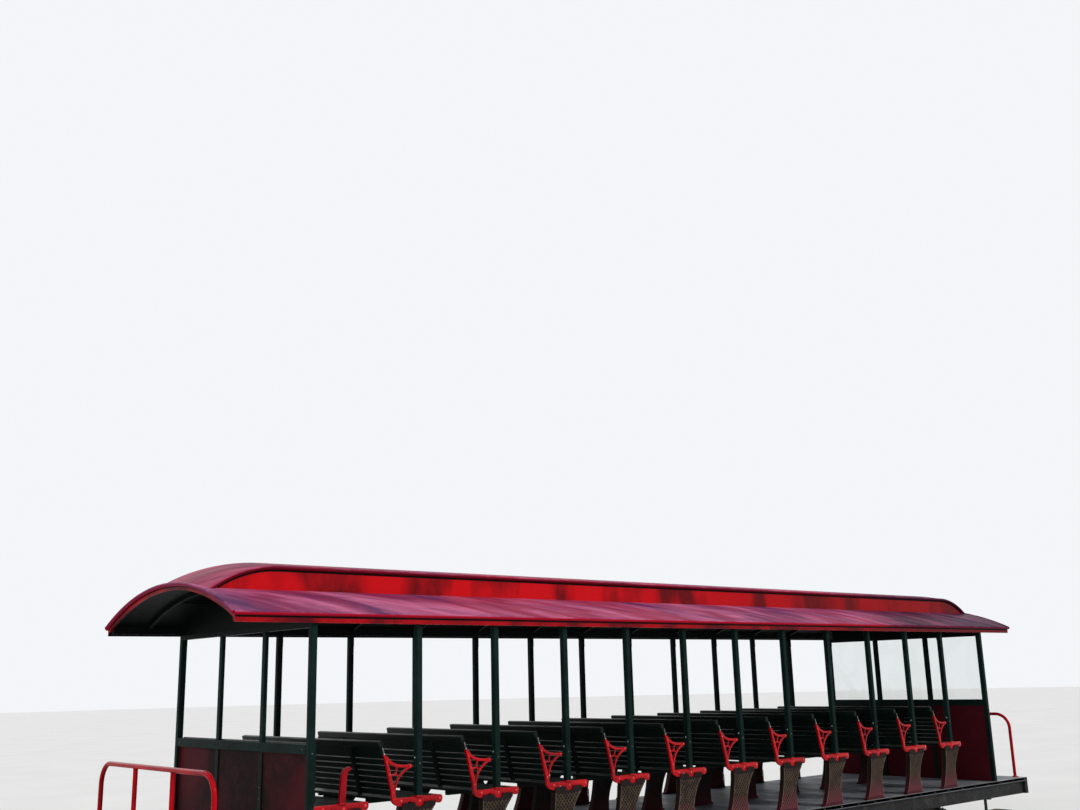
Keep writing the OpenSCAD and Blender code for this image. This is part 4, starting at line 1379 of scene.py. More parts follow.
@dataclass
class EndWalls(SubAssembly):
    """End walls: thin beads round the panels, stops round the front glass, bolts on the rails."""

    post_w: float = 0.051
    post_back: float = 0.020
    panel_t: float = 0.012
    bead: float = 0.007
    stop_w: float = 0.009
    stop_t: float = 0.008
    bolt_in: float = 0.070
    rail_low: float = field(init=False)
    rail_middle: float = field(init=False)
    panel_x: float = field(init=False)
    third: float = field(init=False)
    glass: Place = field(init=False)

    def __post_init__(self) -> None:
        """Reads the rails and the glass from the frame."""
        self.rail_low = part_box("end_mid_rails")[0].z
        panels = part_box("end_panels")[1]
        self.rail_middle = panels.z
        self.panel_x = panels.x - self.panel_t / 2
        self.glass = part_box("front_window_glass")
        self.third = self.layout.post_y / 3

    def build(self) -> None:
        """Dresses the end walls and adds beads, stops and bolts."""
        self.dress(POST_GREEN, "end_posts", "end_mid_rails")
        self.dress(SHADED_DARK_GREEN, "end_headers")
        self.dress(MAROON, "end_panels")
        self.dress(PANE, "front_window_glass")
        self.beads()
        self.stops()
        self.bolts()

    def bays(self) -> list[Pair]:
        """Works out the three bays between the wall's posts.

        Returns:
            Right and left edge of each bay.
        """
        inner = self.layout.post_y - self.layout.post_size / 2
        near, far = self.third - self.post_w / 2, self.third + self.post_w / 2
        return [(-inner, -far), (-near, near), (far, inner)]

    def frame(self, work: Modeller, x: Pair, y: Pair, z: Pair, wide: float) -> None:
        """Adds four strips round the inside of one bay.

        Args:
            work: The piece to add to.
            x: Where the strips start and end across the wall.
            y: Right and left edge of the bay.
            z: Lower and upper edge of the bay.
            wide: Width of the strips.
        """
        (y_low, y_high), (z_low, z_high) = y, z
        for low, high in (
            ((y_low, z_low), (y_high, z_low + wide)),
            ((y_low, z_high - wide), (y_high, z_high)),
            ((y_low, z_low + wide), (y_low + wide, z_high - wide)),
            ((y_high - wide, z_low + wide), (y_high, z_high - wide)),
        ):
            work.box((x[0], *low), (x[1], *high), 0.25 * wide)

    def beads(self) -> None:
        """Adds the thin beads that hold the lower panels, on both faces."""
        work = Modeller("panel_beads")
        height = (self.layout.floor_z, self.rail_low)
        for end in SIDES:
            for bay in self.bays():
                for out in SIDES:
                    face = end * self.panel_x + out * (self.panel_t / 2 - 0.5 * MM)
                    self.frame(work, (face, face + out * self.bead), bay, height, self.bead)
        work.done(MAROON)

    def stops(self) -> None:
        """Adds the stops that hold the front panes, on both faces of the glass."""
        work = Modeller("front_window_stops")
        low, high = self.glass
        for bay in self.bays():
            for face, out in ((low.x + 0.5 * MM, -1), (high.x - 0.5 * MM, 1)):
                self.frame(work, (face, face + out * self.stop_t), bay, (low.z, high.z), self.stop_w)
        work.done(POST_GREEN)

    def bolts(self) -> None:
        """Adds bright bolts on the rails and low on the posts, and painted ones between them."""
        lay, third = self.layout, self.third
        face = lay.corner_x + lay.post_size / 2 - 0.3 * MM
        corner = lay.post_y - self.bolt_in
        for name, finish, heights, rail_ys in (
            ("end_wall_bolts", DULL_BOLT, (0.52, 0.60), (-corner, corner)),
            ("end_wall_rivets", POST_GREEN, (0.07, 0.30, 0.76), (-third, third)),
        ):
            spots = [(face - self.post_back, y, lay.floor_z + z) for y in (-third, third) for z in heights]
            spots += [(face, y, self.rail_middle) for y in rail_ys]
            places = [at(end * x, y, z, (end, 0, 0)) for end in SIDES for x, y, z in spots]
            fasten(name, Fastener(Head.DOME, 6 * MM, 3.9 * MM), places, finish)


@dataclass(frozen=True)
class BenchCasting:
    """One bench end: the leaning bar, its curved arm and web, and the lobed rail below them."""

    bar: tuple[Triple, ...] = (
        (-0.222, 0.500, 0.035), (-0.229, 0.560, 0.034), (-0.2455, 0.620, 0.032), (-0.260, 0.675, 0.029),
        (-0.273, 0.722, 0.026), (-0.286, 0.768, 0.022), (-0.299, 0.803, 0.018), (-0.310, 0.828, 0.015),
        (-0.312, 0.832, 0.009),
    )
    bar_t: float = 0.022
    arm: tuple[Pair, ...] = (
        (-0.290, 0.808), (-0.245, 0.735), (-0.165, 0.734), (-0.077, 0.732),
    )
    brace: tuple[Pair, ...] = (
        (-0.214, 0.515), (-0.214, 0.605), (-0.190, 0.672), (-0.076, 0.728),
    )
    arm_t: float = 0.017
    bend_steps: int = 14
    hub: Pair = (-0.204, 0.680)
    spokes: tuple[Pair, ...] = ((-0.191, 0.738), (-0.258, 0.670), (-0.168, 0.662))
    spoke_t: float = 0.014
    eye_r: float = 0.0165
    grab: tuple[Triple, ...] = (
        (0.0, 0.500, 0.053), (0.001, 0.530, 0.053), (0.006, 0.608, 0.052), (0.011, 0.680, 0.049),
        (0.0155, 0.708, 0.046), (0.025, 0.730, 0.041), (0.041, 0.744, 0.034), (0.060, 0.748, 0.028),
        (0.067, 0.748, 0.018),
    )
    rail_t: float = 0.024
    rail: tuple[tuple[int, int], ...] = (
        (-218, 508), (202, 508), (212, 505), (219, 498), (222, 486), (221, 470), (214, 456), (203, 448),
        (190, 446), (170, 449), (150, 456), (130, 464), (110, 469), (97, 470), (84, 467), (66, 459),
        (48, 447), (30, 437), (12, 433), (-6, 435), (-24, 443), (-42, 456), (-60, 469), (-76, 475),
        (-90, 475), (-104, 469), (-120, 458), (-138, 450), (-158, 446), (-178, 448), (-200, 456),
        (-218, 466), (-232, 478), (-238, 490), (-234, 501), (-227, 506),
    )
    head: tuple[tuple[int, int], ...] = (
        (-56, 408), (58, 408), (58, 453), (48, 447), (30, 437), (12, 433), (-6, 435), (-24, 443),
        (-42, 455), (-56, 463),
    )

    def bend(self, knots: Sequence[Pair], start: float, end: float) -> list[Triple]:
        """Works out a curved bar whose width runs evenly from one value to another.

        Args:
            knots: Two ends and two handles, as (x, z).
            start: Width at the start.
            end: Width at the end.

        Returns:
            Its stations, as (x, z, width).
        """
        points = interpolate_bezier(*(Vector((x, 0, z)) for x, z in knots), self.bend_steps + 1)
        return [(p.x, p.z, start + (end - start) * n / self.bend_steps) for n, p in enumerate(points)]

    def bracket_mesh(self) -> bpy.types.Mesh:
        """Models the bar, the arm with its eye, the brace and the three spokes.

        Returns:
            A mesh that stamp() copies.
        """
        work = Modeller("bracket")
        work.strip(self.bar, self.bar_t)
        work.strip(self.bend(self.arm, 0.024, 0.020), self.arm_t)
        work.strip(self.bend(self.brace, 0.013, 0.017), self.arm_t)
        for x, z in self.spokes:
            middle = ((x + self.hub[0]) / 2, (z + self.hub[1]) / 2)
            work.strip([(x, z, 0.013), (*middle, 0.010), (*self.hub, 0.014)], self.spoke_t)
        (eye_x, eye_z), reach = self.arm[3], self.bar_t / 2
        work.rod((eye_x, -reach, eye_z), (eye_x, reach, eye_z), self.eye_r, 20)
        return work.template()

    def rail_mesh(self, pad_half: float, pad_foot: float, pad_top: float) -> bpy.types.Mesh:
        """Models the rail and the pad that its post stands on.

        Args:
            pad_half: Half the pad's width.
            pad_foot: Height of the pad's underside above the floor.
            pad_top: Height of the pad's top above the floor.

        Returns:
            A mesh that stamp() copies.
        """
        work = Modeller("rail")
        work.plate([(x * MM, z * MM) for x, z in self.rail], self.rail_t, 3 * MM)
        pad_l = pad_half + 6 * MM
        work.box((-pad_l, -pad_half, pad_foot), (pad_l, pad_half, pad_top), 2 * MM)
        return work.template()

    def head_mesh(self, leg_t: float) -> bpy.types.Mesh:
        """Models the top of a leg, which fills the space below the rail's middle lobe.

        Args:
            leg_t: Thickness of the leg.

        Returns:
            A mesh that stamp() copies.
        """
        work = Modeller("head")
        work.plate([(x * MM, z * MM) for x, z in self.head], leg_t + 0.6 * MM, 1 * MM)
        return work.template()

    def grab_mesh(self) -> bpy.types.Mesh:
        """Models the upright grip of the rearmost bench.

        Returns:
            A mesh that stamp() copies.
        """
        work = Modeller("grab")
        work.strip(self.grab, self.rail_t, 4 * MM)
        return work.template()


@dataclass
class Benches(SubAssembly):
    """Twelve benches: rounded castings, plates at the arms, straps, screws and leg relief."""

    rail_top: float = 0.508
    pad: Pair = (0.504, 0.516)
    lobes: tuple[Pair, ...] = ((-0.160, 0.484), (0.010, 0.474), (0.193, 0.479))
    bar_bolts: tuple[Pair, ...] = ((-0.228, 0.552), (-0.261, 0.680), (-0.287, 0.770))
    arm_plate: Pair = (0.690, 0.808)
    arm_plate_half: float = 0.013
    arm_neck: Pair = (0.724, 0.740)
    arm_bolt_z: float = 0.790
    tip_z: float = 0.850
    back_foot: float = -0.225
    back_lean: float = 0.26
    back_slats: int = 6
    back_first: float = 0.044
    back_pitch: float = 0.046
    cap_rise: float = 0.342
    slat_t: float = 0.022
    slat_gap: float = 6 * MM
    seat_rear: float = -0.204
    seat_front: float = 0.222
    seat_slats: int = 5
    screw_in: float = 0.035
    centre_share: float = 0.62
    rear_arc: tuple[Pair, ...] = ((-0.158, 0.400), (-0.184, 0.239), (-0.275, 0.0))
    front_arc: tuple[Pair, ...] = ((0.148, 0.440), (0.055, 0.313), (0.008, 0.150))
    foot_front: float = 0.022
    lattice: float = 0.034425
    lattice_slope: float = 1.25
    lattice_at: Pair = (-0.10, 0.20)
    lattice_z: Pair = (0.035, 0.418)
    lattice_margin: float = 0.013
    lattice_count: int = 34
    lattice_steps: int = 90
    lattice_least: int = 6
    border_z: Pair = (0.022, 0.422)
    border_in: float = 5 * MM
    casting: BenchCasting = BenchCasting()

    def build(self) -> None:
        """Dresses the benches and adds their small pieces."""
        self.castings()
        self.dress(LEG_IRON, "bench_legs", "bench_centre_legs")
        self.dress(SLAT_GREEN, "bench_seats", "bench_backs")
        self.dress(CAP_GREEN, "bench_cap_rails")
        self.casting_bolts()
        self.tip_straps()
        self.slat_screws()
        self.leg_relief()

    def outer_face(self) -> float:
        """Returns Y of the castings' outer face on the left side."""
        return self.layout.post_y + self.layout.casting_t / 2

    def castings(self) -> None:
        """Adds the castings with rounded edges, which stand for the CAD's plain ones."""
        lay, form = self.layout, self.casting
        rail, head = form.rail_mesh(lay.post_size / 2, *self.pad), form.head_mesh(lay.leg_t)
        bracket, inset = form.bracket_mesh(), lay.post_y - 1 * MM
        for name, node, finish, mesh, xs, y_place in (
            ("bench_rail_castings", "bench_rails", CASTING_RED, rail, lay.row_xs, lay.post_y),
            ("bench_bracket_castings", "bench_brackets", CASTING_RED, bracket, lay.bench_xs, inset),
            # The grip takes the darker red: painted shade.
            ("grab_bar_castings", "grab_bars", SHADED_GRIP_RED, form.grab_mesh(), [lay.first_x], lay.post_y),
            ("leg_heads", None, LEG_IRON, head, lay.row_xs, lay.post_y),
        ):
            work = Modeller(name)
            work.stamp(mesh, [
                Matrix.Translation((x, side * y_place, lay.floor_z)) for x in xs for side in SIDES
            ])
            piece = work.done(finish, "coach")
            if node:
                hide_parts(node)
        self.arm_plates()

    def arm_plates(self) -> None:
        """Adds the flat bar on each post's rear face that takes the arm, with its bolt."""
        lay = self.layout
        work = Modeller("post_arm_plates")
        bolts = []
        plate_low, plate_high, neck_low, neck_high = (
            lay.floor_z + z for z in (*self.arm_plate, *self.arm_neck)
        )
        for x in lay.bench_xs:
            face = x - lay.post_size / 2
            eye = x + self.casting.arm[3][0]
            for side in SIDES:
                y = side * lay.post_y
                near, far = y - self.arm_plate_half, y + self.arm_plate_half
                work.box((face - 8 * MM, near, plate_low), (face + 1 * MM, far, plate_high), 1.5 * MM)
                work.box((eye, y - 6 * MM, neck_low), (face, y + 6 * MM, neck_high), 2 * MM)
                bolts.append(at(face - 7.6 * MM, y + side * 4 * MM, lay.floor_z + self.arm_bolt_z, REAR))
        work.done(POST_GREEN)
        fasten("post_arm_bolts", Fastener(Head.DOME, 7 * MM, 5 * MM), bolts, ZINC)

    def casting_bolts(self) -> None:
        """Adds carriage bolts at the lobes and along the back brackets."""
        lay = self.layout
        for name, radius, height, xs, spots, sunk in (
            ("casting_bolts", 12 * MM, 7 * MM, lay.row_xs, self.lobes, 0.4 * MM),
            ("bracket_bolts", 8 * MM, 5 * MM, lay.bench_xs, (*self.bar_bolts, self.casting.arm[3]), 2.4 * MM),
        ):
            places = [
                at(x + dx, self.outer_face() - sunk, lay.floor_z + z, LEFT) for x in xs for dx, z in spots
            ]
            # The bolt heads take the lighter red: a painted highlight.
            fasten(name, Fastener(Head.DOME, radius, height), lay.both_sides(places), LIT_BOLT_RED)

    def tip_straps(self) -> None:
        """Adds the steel strap, the green block and the bolt at the tip of each back bracket."""
        lay = self.layout
        straps, blocks = Modeller("bracket_tip_straps"), Modeller("bracket_tip_blocks")
        face = self.outer_face() - 2 * MM
        height = lay.floor_z + self.tip_z
        lean = Matrix.Rotation(-math.atan(self.back_lean), 4, "Y")
        for x in lay.bench_xs:
            for side in SIDES:
                for work, back, out, size, round_by in (
                    (blocks, 0.318, -11 * MM, (0.024, 0.023, 0.050), 2 * MM),
                    (straps, 0.320, 1.2 * MM, (0.011, 3.4 * MM, 0.056), 1 * MM),
                ):
                    middle = Matrix.Translation((x - back, side * (face + out), height))
                    work.slab(middle @ lean, size, round_by)
        straps.done(DULL_BOLT)
        blocks.done(CAP_GREEN)
        bolts = [at(x - 0.311, face + 2.5 * MM, height - 0.020, LEFT) for x in lay.bench_xs]
        fasten("bracket_tip_bolts", Fastener(Head.DOME, 6 * MM, 4 * MM), lay.both_sides(bolts), ZINC)

    def slat_screws(self) -> None:
        """Adds two screws at each end of every slat."""
        lay = self.layout
        lean = math.atan(self.back_lean)
        front = Vector((math.cos(lean), 0, math.sin(lean)))
        up = Vector((-math.sin(lean), 0, math.cos(lean)))
        seat_z = lay.floor_z + self.rail_top
        rises = [self.back_first + n * self.back_pitch for n in range(self.back_slats)] + [self.cap_rise]
        proud = front * (self.slat_t / 2 - 0.3 * MM)
        spots = [
            (Vector((x + self.back_foot, 0, seat_z)) + up * rise + proud, front)
            for x in lay.bench_xs for rise in rises
        ]
        pitch = (self.seat_front - self.seat_rear + self.slat_gap) / self.seat_slats
        start = self.seat_rear + (pitch - self.slat_gap) / 2
        spots += [
            at(x + start + n * pitch, 0, seat_z - 4.3 * MM, UP)
            for x in lay.row_xs for n in range(self.seat_slats)
        ]
        across = [lay.post_y - lay.casting_t / 2 - self.screw_in, lay.post_y * self.centre_share]
        places = [(spot + Vector((0, y, 0)), out) for spot, out in spots for y in across]
        fasten("slat_screws", Fastener(Head.SCREW, 5 * MM, 2 * MM), lay.both_sides(places), ZINC)

    def leg_edges(self, height: float) -> Pair:
        """Returns the rear and front edge of a leg casting at a height above the floor.

        Args:
            height: Height above the floor.

        Returns:
            X of the rear edge and of the front edge, from the bench's own X.
        """
        rear = self.arc_x(self.rear_arc, min(height, self.rear_arc[0][1]))
        if height < self.front_arc[2][1]:
            return rear, self.foot_front
        return rear, self.arc_x(self.front_arc, height)

    def arc_x(self, points: tuple[Pair, ...], height: float) -> float:
        """Returns X where the circle through three points passes a height, on their side.

        Args:
            points: Three points as (x, z).
            height: The height.

        Returns:
            X at that height.
        """
        (ax, az), (bx, bz), (cx, cz) = points
        twice = 2 * (ax * (bz - cz) + bx * (cz - az) + cx * (az - bz))
        sa, sb, sc = ax * ax + az * az, bx * bx + bz * bz, cx * cx + cz * cz
        ox = (sa * (bz - cz) + sb * (cz - az) + sc * (az - bz)) / twice
        oz = (sa * (cx - bx) + sb * (ax - cx) + sc * (bx - ax)) / twice
        radius = math.hypot(ax - ox, az - oz)
        reach = math.sqrt(max(radius ** 2 - (height - oz) ** 2, 0.0))
        return ox + reach if bx > ox else ox - reach

    def leg_bars(self) -> list[tuple[Vector, Vector]]:
        """Works out the raised diamond bars of one leg.

        Returns:
            Start and end of each bar, in the leg's own plane as (x, 0, height).
        """
        bars = []
        (low, high), (middle_x, middle_z) = self.lattice_z, self.lattice_at
        for lean in SIDES:
            for index in range(-self.lattice_count, self.lattice_count + 1):
                inside = []
                for n in range(self.lattice_steps + 1):
                    z = low + (high - low) * n / self.lattice_steps
                    x = middle_x + index * self.lattice + lean * (z - middle_z) / self.lattice_slope
                    rear, front = self.leg_edges(z)
                    if rear + self.lattice_margin < x < front - self.lattice_margin:
                        inside.append(Vector((x, 0, z)))
                if len(inside) > self.lattice_least:
                    bars.append((inside[0], inside[-1]))
        return bars

    def leg_relief(self) -> None:
        """Adds the raised border and the diamond lattice cast on both faces of each leg."""
        lay = self.layout
        relief = Modeller("leg_relief")
        bars = [(start, end, 0.0, 4.0 * MM, 4.4 * MM) for start, end in self.leg_bars()]
        low, high = self.border_z
        steps = 20
        heights = [low + (high - low) * n / steps for n in range(steps + 1)]
        for edge, inward in ((0, self.border_in), (1, -self.border_in)):
            points = [Vector((self.leg_edges(z)[edge] + inward, 0, z)) for z in heights]
            bars += [(start, end, 1 * MM, 6.0 * MM, 9.0 * MM) for start, end in zip(points, points[1:])]
        for start, end, overlap, deep, wide in bars:
            run = end - start
            turn = Matrix.Rotation(-math.atan2(run.z, run.x), 4, "Y")
            relief.slab(Matrix.Translation((start + end) / 2) @ turn, (run.length + overlap, deep, wide))
        work = Modeller("leg_lattice")
        work.stamp(to_mesh(relief.bm, relief.name), [
            Matrix.Translation((x, side * lay.post_y + face * lay.leg_t / 2, lay.floor_z))
            for x in lay.bench_xs for side in SIDES for face in SIDES
        ])
        # The ridges take the lighter iron: a painted highlight.
        work.done(LIT_LEG_RIDGE, smooth=20)


@dataclass
class GuardRails(SubAssembly):
    """Bent tube rails on both platforms: bolted feet and weld beads."""

    tube_r: float = 0.019
    foot_r: float = 0.038
    bolt_ring: float = 0.029
    weld_r: float = 2.6 * MM
    weld_steps: int = 28

    def build(self) -> None:
        """Dresses the guard rails and adds bolts and welds."""
        self.dress(TUBE_RED, "guard_rails")
        floor_z = self.layout.floor_z
        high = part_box("guard_rails")[1]
        leg_x, leg_y = high.x - self.foot_r, high.y - self.foot_r
        under = high.z - 2 * self.tube_r + 1 * MM
        bolts = []
        welds = Modeller("guard_rail_welds")
        for x in (-leg_x, leg_x):
            for y in (-leg_y, -leg_y / 3, leg_y / 3, leg_y):
                for turn in range(4):
                    angle = math.radians(45 + 90 * turn)
                    dx, dy = self.bolt_ring * math.cos(angle), self.bolt_ring * math.sin(angle)
                    bolts.append(at(x + dx, y + dy, floor_z + 7.7 * MM, UP))
                self.ring(welds, Vector((x, y, floor_z + 9 * MM)), self.tube_r + 1 * MM)
            for y in (-leg_y / 3, leg_y / 3):
                self.ring(welds, Vector((x, y, under)), self.tube_r - 0.5 * MM)
        welds.done(TUBE_RED, smooth=60, recalc=True)
        fasten("guard_rail_foot_bolts", Fastener(Head.HEX, 7 * MM, 6 * MM), bolts, ZINC)

    def ring(self, work: Modeller, centre: Vector, radius: float) -> None:
        """Adds a lumpy weld bead round a tube.

        Args:
            work: The piece to add to.
            centre: Middle of the ring.
            radius: Radius of the ring.
        """
        angles = [2 * math.pi * n / self.weld_steps for n in range(self.weld_steps + 1)]
        frames = [
            ring_frame(centre, radius, angle) @ Matrix.Scale(1.0 + 0.18 * math.sin(angle * 9), 4)
            for angle in angles
        ]
        work.sweep(round_section(self.weld_r, 6), frames, closed=False)


@dataclass
class Deck(SubAssembly):
    """Floor: worn deck paint, bright nosing strips along the edges, screws through them."""

    strip_t: float = 3 * MM
    strip_w: float = 0.022
    end_gap: float = 4 * MM
    screw_step: float = 0.3
    screw_down: float = 0.018

    def build(self) -> None:
        """Dresses the floor and adds the nosing."""
        self.dress(DECK, "floor_deck")
        lay = self.layout
        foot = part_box("floor_deck")[0].z + 6 * MM
        half_l = lay.deck_l - self.end_gap
        work = Modeller("deck_nosing")
        screws = []
        for side in SIDES:
            y_out = side * lay.deck_w
            for wide, low, high, round_by in (
                (self.strip_t, foot, lay.floor_z + 1 * MM, 0.8 * MM),
                (self.strip_w, lay.floor_z - 1 * MM, lay.floor_z + 1.6 * MM, 0.6 * MM),
            ):
                work.box((-half_l, y_out, low), (half_l, y_out - side * wide, high), round_by)
            for x in stations(2 * half_l, self.screw_step):
                screws.append(at(x, y_out - side * 0.3 * MM, lay.floor_z - self.screw_down, (0, side, 0)))
        work.done(NOSING)
        fasten("deck_nosing_screws", Fastener(Head.SCREW, 5 * MM, 2 * MM), screws, ZINC)


@dataclass
class Underframe(SubAssembly):
    """Sills, beams, steps and couplers: rivets, treads on the steps, bolts at their brackets."""

    rivet_step: float = 0.19
    rivet_in: float = 0.030
    beam_rivets: tuple[int, float, float] = (7, 0.160, 0.155)
    tread_in: tuple[float, ...] = (0.030, 0.075, 0.120)
    tread_half: float = 0.012
    tread_gap: float = 0.020
    bolt_in: Pair = (0.050, 0.170)

    def build(self) -> None:
        """Dresses the underframe and adds rivets, bolts and treads."""
        self.dress(
            BLACK_STEEL, "centre_sill", "side_sills", "end_beams", "body_bolsters", "cross_bearers",
            "footboard_brackets", "air_reservoir",
        )
        self.dress(STEP_WOOD, "footboards")
        self.dress(COUPLER_IRON, "couplers")
        self.rivets()
        self.step_treads()
        self.bracket_bolts()

    def rivets(self) -> None:
        """Adds rows of rivets on the side sills and the end beams."""
        low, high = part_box("side_sills")
        beam_low, beam_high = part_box("end_beams")
        places = [
            at(x, high.y - 0.4 * MM, z, LEFT)
            for x in stations(2 * high.x, self.rivet_step)
            for z in (low.z + self.rivet_in, high.z - self.rivet_in)
        ]
        count, first, step = self.beam_rivets
        places += [
            at(end * (beam_high.x - 0.4 * MM), first + n * step, z, (end, 0, 0))
            for end in SIDES for n in range(count)
            for z in (beam_low.z + self.rivet_in, beam_high.z - self.rivet_in)
        ]
        head = Fastener(Head.SCREW, 9 * MM, 5 * MM)
        fasten("frame_rivets", head, self.layout.both_sides(places), BLACK_STEEL)

    def step_treads(self) -> None:
        """Adds three ribbed strips along each footboard."""
        low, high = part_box("footboards")
        work = Modeller("footboard_treads")
        x_low, x_high = low.x + self.tread_gap, high.x - self.tread_gap
        for side in SIDES:
            for inset in self.tread_in:
                y = side * (high.y - inset)
                work.box(
                    (x_low, y - self.tread_half, high.z - 0.5 * MM),
                    (x_high, y + self.tread_half, high.z + 2.5 * MM), 0.8 * MM,
                )
        work.done(BLACK_STEEL)

    def bracket_bolts(self) -> None:
        """Adds the hex bolts that hold the footboards to their brackets."""
        low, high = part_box("footboards")
        places = [
            at(n * 2 * self.layout.row_pitch, high.y - inset, low.z - 12.4 * MM, DOWN)
            for n in range(-3, 4) for inset in self.bolt_in
        ]
        head = Fastener(Head.HEX, 9 * MM, 7 * MM)
        fasten("footboard_bolts", head, self.layout.both_sides(places), BLACK_STEEL)


@dataclass
class Truck(SubAssembly):
    """One arch-bar truck: coil springs, lids on the journal boxes, column bolts and wheels."""

    prefix: str
    centre_x: float
    wheels: tuple[str, str]
    wheelbase: float = 1.067
    frame_y: float = 0.625
    bar_w: float = 0.060
    box_proud: float = 0.036
    axle_z: float = 0.235
    tread: float = 0.210
    wire: float = 8.5 * MM
    coil_r: float = 0.040
    core_r: float = 0.024
    spring_in: float = 0.050
    turns: float = 4.5
    lid: Triple = (0.082, 5 * MM, 0.096)
    rib: Triple = (8 * MM, 6 * MM, 0.078)
    rib_dx: float = 0.018
    hinge_half: float = 0.035
    hinge_up: float = 0.056
    lid_bolts: tuple[Pair, Pair] = ((-0.048, 0.048), (-0.058, 0.062))
    column_dx: float = 0.167
    column_nut_z: float = 0.4175
    box_dx: float = 0.050
    box_nut_z: Pair = (0.1345, 0.3615)

    def build(self) -> None:
        """Dresses the truck's nodes and adds its pieces."""
        p = self.prefix
        self.dress(TRUCK_IRON, f"{p}_frame", f"{p}_bolster", f"{p.split('_')[0]}_brake_beams")
        for name, side in zip(self.wheels, (1, -1)):
            x = self.centre_x + side * self.wheelbase / 2
            self.dress(WheelSteel(f"{name}_steel", "wheel_steel", x, self.axle_z, self.tread), name)
        self.springs()
        self.box_lids()
        self.column_bolts()

    def springs(self) -> None:
        """Winds the coil springs, which stand for the CAD's plain ones."""
        low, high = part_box(f"{self.prefix}_springs")
        work = Modeller(f"{self.prefix}_coil_springs")
        rise = high.z - low.z - 2 * self.wire
        steps = 16
        total = int(self.turns * steps)
        for x in (low.x + self.spring_in, high.x - self.spring_in):
            for y in (-self.frame_y, self.frame_y):
                frames = []
                for n in range(total + 1):
                    share = min(1.0, max(0.0, (n / total * self.turns - 0.75) / (self.turns - 1.5)))
                    centre = Vector((x, y, low.z + self.wire + rise * share))
                    frames.append(ring_frame(centre, self.coil_r, 2 * math.pi * n / steps))
                work.sweep(round_section(self.wire, 8), frames)
                work.rod((x, y, low.z), (x, y, high.z), self.core_r, 14)
        piece = work.done(TRUCK_IRON, self.prefix, smooth=60, recalc=True)
        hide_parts(f"{self.prefix}_springs")

    def box_lids(self) -> None:
        """Adds a hinged lid with its ribs and bolts on each journal box."""
        work = Modeller(f"{self.prefix}_box_lids")
        bolts = []
        face = self.frame_y + self.bar_w / 2 + self.box_proud
        height, hinge_z = self.axle_z + 4 * MM, self.axle_z + self.hinge_up
        for side in SIDES:
            for end in SIDES:
                x = self.centre_x + end * self.wheelbase / 2
                work.slab(Matrix.Translation((x, side * (face + 2 * MM), height)), self.lid, 2 * MM)
                for dx in (-self.rib_dx, self.rib_dx):
                    work.slab(Matrix.Translation((x + dx, side * (face + 5 * MM), height)), self.rib, 2 * MM)
                y = side * (face + 3 * MM)
                start, stop = x - self.hinge_half, x + self.hinge_half
                work.rod((start, y, hinge_z), (stop, y, hinge_z), 6 * MM, 12)
                for dx in self.lid_bolts[0]:
                    for dz in self.lid_bolts[1]:
                        bolts.append(at(x + dx, side * (face - 8.4 * MM), self.axle_z + dz, (0, side, 0)))
        work.stamp(Fastener(Head.HEX, 8 * MM, 7 * MM).mesh(), bolts)
        work.done(TRUCK_IRON, self.prefix)

    def column_bolts(self) -> None:
        """Adds the nuts of the long bolts: over the columns, and over and under the boxes."""
        low, high = self.box_nut_z
        nuts = []
        for y in (-self.frame_y, self.frame_y):
            for dx in (-self.column_dx, self.column_dx):
                nuts.append(at(self.centre_x + dx, y, self.column_nut_z, UP))
            for end in SIDES:
                for dx in (-self.box_dx, self.box_dx):
                    x = self.centre_x + end * self.wheelbase / 2 + dx
                    nuts += [at(x, y, high, UP), at(x, y, low, DOWN)]
        head = Fastener(Head.HEX, 15 * MM, 13 * MM)
        fasten(f"{self.prefix}_column_bolts", head, nuts, TRUCK_IRON, self.prefix)


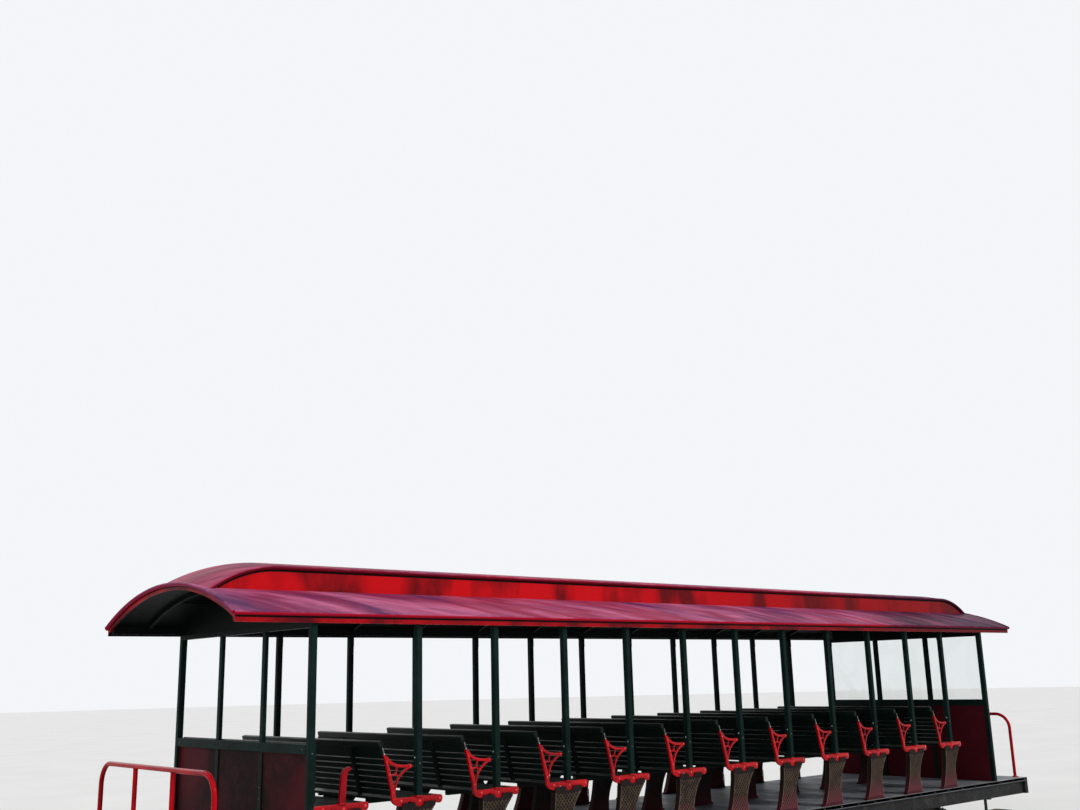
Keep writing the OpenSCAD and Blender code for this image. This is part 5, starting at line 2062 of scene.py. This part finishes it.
@dataclass
class Studio:
    """Pale floor, plain soft light and the photograph's camera."""

    floor_colours: tuple[Colour, Colour] = (srgb(226, 226, 224), srgb(220, 220, 218))
    floor_r: float = 120.0
    sky: Colour = (0.90, 0.92, 0.94)
    soft: Colour = (0.93, 0.96, 1.0)
    soft_strength: float = 0.42
    lamps: tuple[tuple[str, Triple, float, float, Colour], ...] = (
        ("key", (-0.35, 0.75, -0.62), 2.1, 14, (1.0, 0.98, 0.95)),
        ("fill", (0.8, 0.25, -0.45), 0.7, 50, (0.95, 0.97, 1.0)),
        ("back", (0.1, -0.8, -0.6), 0.6, 50, (1.0, 1.0, 1.0)),
    )
    place: Triple = (-8.998, -8.6307, 2.0263)
    forward: Triple = (0.6369, 0.73443, 0.23446)
    right: Triple = (0.75903, -0.65061, -0.02385)
    image_w: float = 1080.0
    focal_px: float = 1137.15
    sensor_mm: float = 36.0

    def camera(self) -> None:
        """Sets the camera where the photograph was taken from."""
        data = bpy.data.cameras.new("camera")
        data.sensor_width = self.sensor_mm
        data.lens = self.focal_px / self.image_w * self.sensor_mm
        data.clip_end = 300
        ahead, right = Vector(self.forward).normalized(), Vector(self.right).normalized()
        turn = Matrix((right, right.cross(ahead), -ahead)).transposed().to_4x4()
        camera = add_object("camera", data)
        camera.matrix_world = Matrix.Translation(self.place) @ turn
        bpy.context.scene.camera = camera

    def ground(self) -> None:
        """Lays the pale floor."""
        bm = bmesh.new()
        bmesh.ops.create_circle(bm, cap_ends=True, segments=96, radius=self.floor_r)
        mesh = to_mesh(bm, "studio_floor")
        graph = Graph("studio_floor")
        tone = graph.mix(graph.remap(graph.noise(0.6, 3.0), 0.3, 0.7), *self.floor_colours)
        graph.set(Base_Color=tone, Roughness=0.9)
        mesh.materials.append(graph.material)
        ground = add_object("studio_floor", mesh)

    def sun(self, name: str, toward: Sequence[float], strength: float, angle: float, colour: Colour) -> None:
        """Adds one soft distant lamp.

        Args:
            name: The lamp's name.
            toward: The direction that the light travels.
            strength: Its strength.
            angle: How wide it is, in degrees.
            colour: Its colour.
        """
        data = bpy.data.lights.new(name, "SUN")
        data.energy = strength
        data.angle = math.radians(angle)
        data.color = colour
        lamp = add_object(name, data)
        lamp.rotation_euler = Vector(toward).to_track_quat("-Z", "Y").to_euler()

    def light(self) -> None:
        """Sets the lamps and the world, which shows pale to the camera and in gloss and glass."""
        for lamp in self.lamps:
            self.sun(*lamp)
        world = bpy.data.worlds.new("studio")
        bpy.context.scene.world = world
        world.use_nodes = True
        tree = world.node_tree
        tree.nodes.clear()
        kinds = ("OutputWorld", "MixShader", "Background", "Background", "LightPath", "Math", "Math")
        output, mix, soft, seen, path, either, any_ray = (
            tree.nodes.new(f"ShaderNode{kind}") for kind in kinds
        )
        for node, colour, strength in ((soft, self.soft, self.soft_strength), (seen, self.sky, 1.0)):
            node.inputs["Color"].default_value = (*colour, 1.0)
            node.inputs["Strength"].default_value = strength
        either.operation = "MAXIMUM"
        any_ray.operation = "MAXIMUM"
        for source, target in (
            (path.outputs["Is Camera Ray"], either.inputs[0]),
            (path.outputs["Is Glossy Ray"], either.inputs[1]),
            (either.outputs[0], any_ray.inputs[0]),
            (path.outputs["Is Transmission Ray"], any_ray.inputs[1]),
            (any_ray.outputs[0], mix.inputs[0]),
            (soft.outputs[0], mix.inputs[1]),
            (seen.outputs[0], mix.inputs[2]),
            (mix.outputs[0], output.inputs["Surface"]),
        ):
            tree.links.new(source, target)
        bpy.context.scene.view_settings.view_transform = "Standard"

    def build(self) -> None:
        """Sets up the whole studio."""
        self.camera()
        self.ground()
        self.light()


def main() -> None:
    """Builds the coach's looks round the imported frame."""
    logging.basicConfig(level=logging.INFO, format="%(name)s: %(message)s")
    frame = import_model()
    nodes = frame["nodes"]
    layout = Layout()
    Studio().build()
    front_wheels, rear_wheels = ("wheelset_1", "wheelset_2"), ("wheelset_3", "wheelset_4")
    for name, part in (
        ("roof", Roof(layout, nodes)),
        ("posts", Posts(layout, nodes)),
        ("end walls", EndWalls(layout, nodes)),
        ("benches", Benches(layout, nodes)),
        ("guard rails", GuardRails(layout, nodes)),
        ("deck", Deck(layout, nodes)),
        ("underframe", Underframe(layout, nodes)),
        ("front truck", Truck(layout, nodes, "front_truck", TRUCK_X, front_wheels)),
        ("rear truck", Truck(layout, nodes, "rear_truck", -TRUCK_X, rear_wheels)),
    ):
        part.build()
        log.info("%s done", name)


if __name__ == "__main__":
    main()
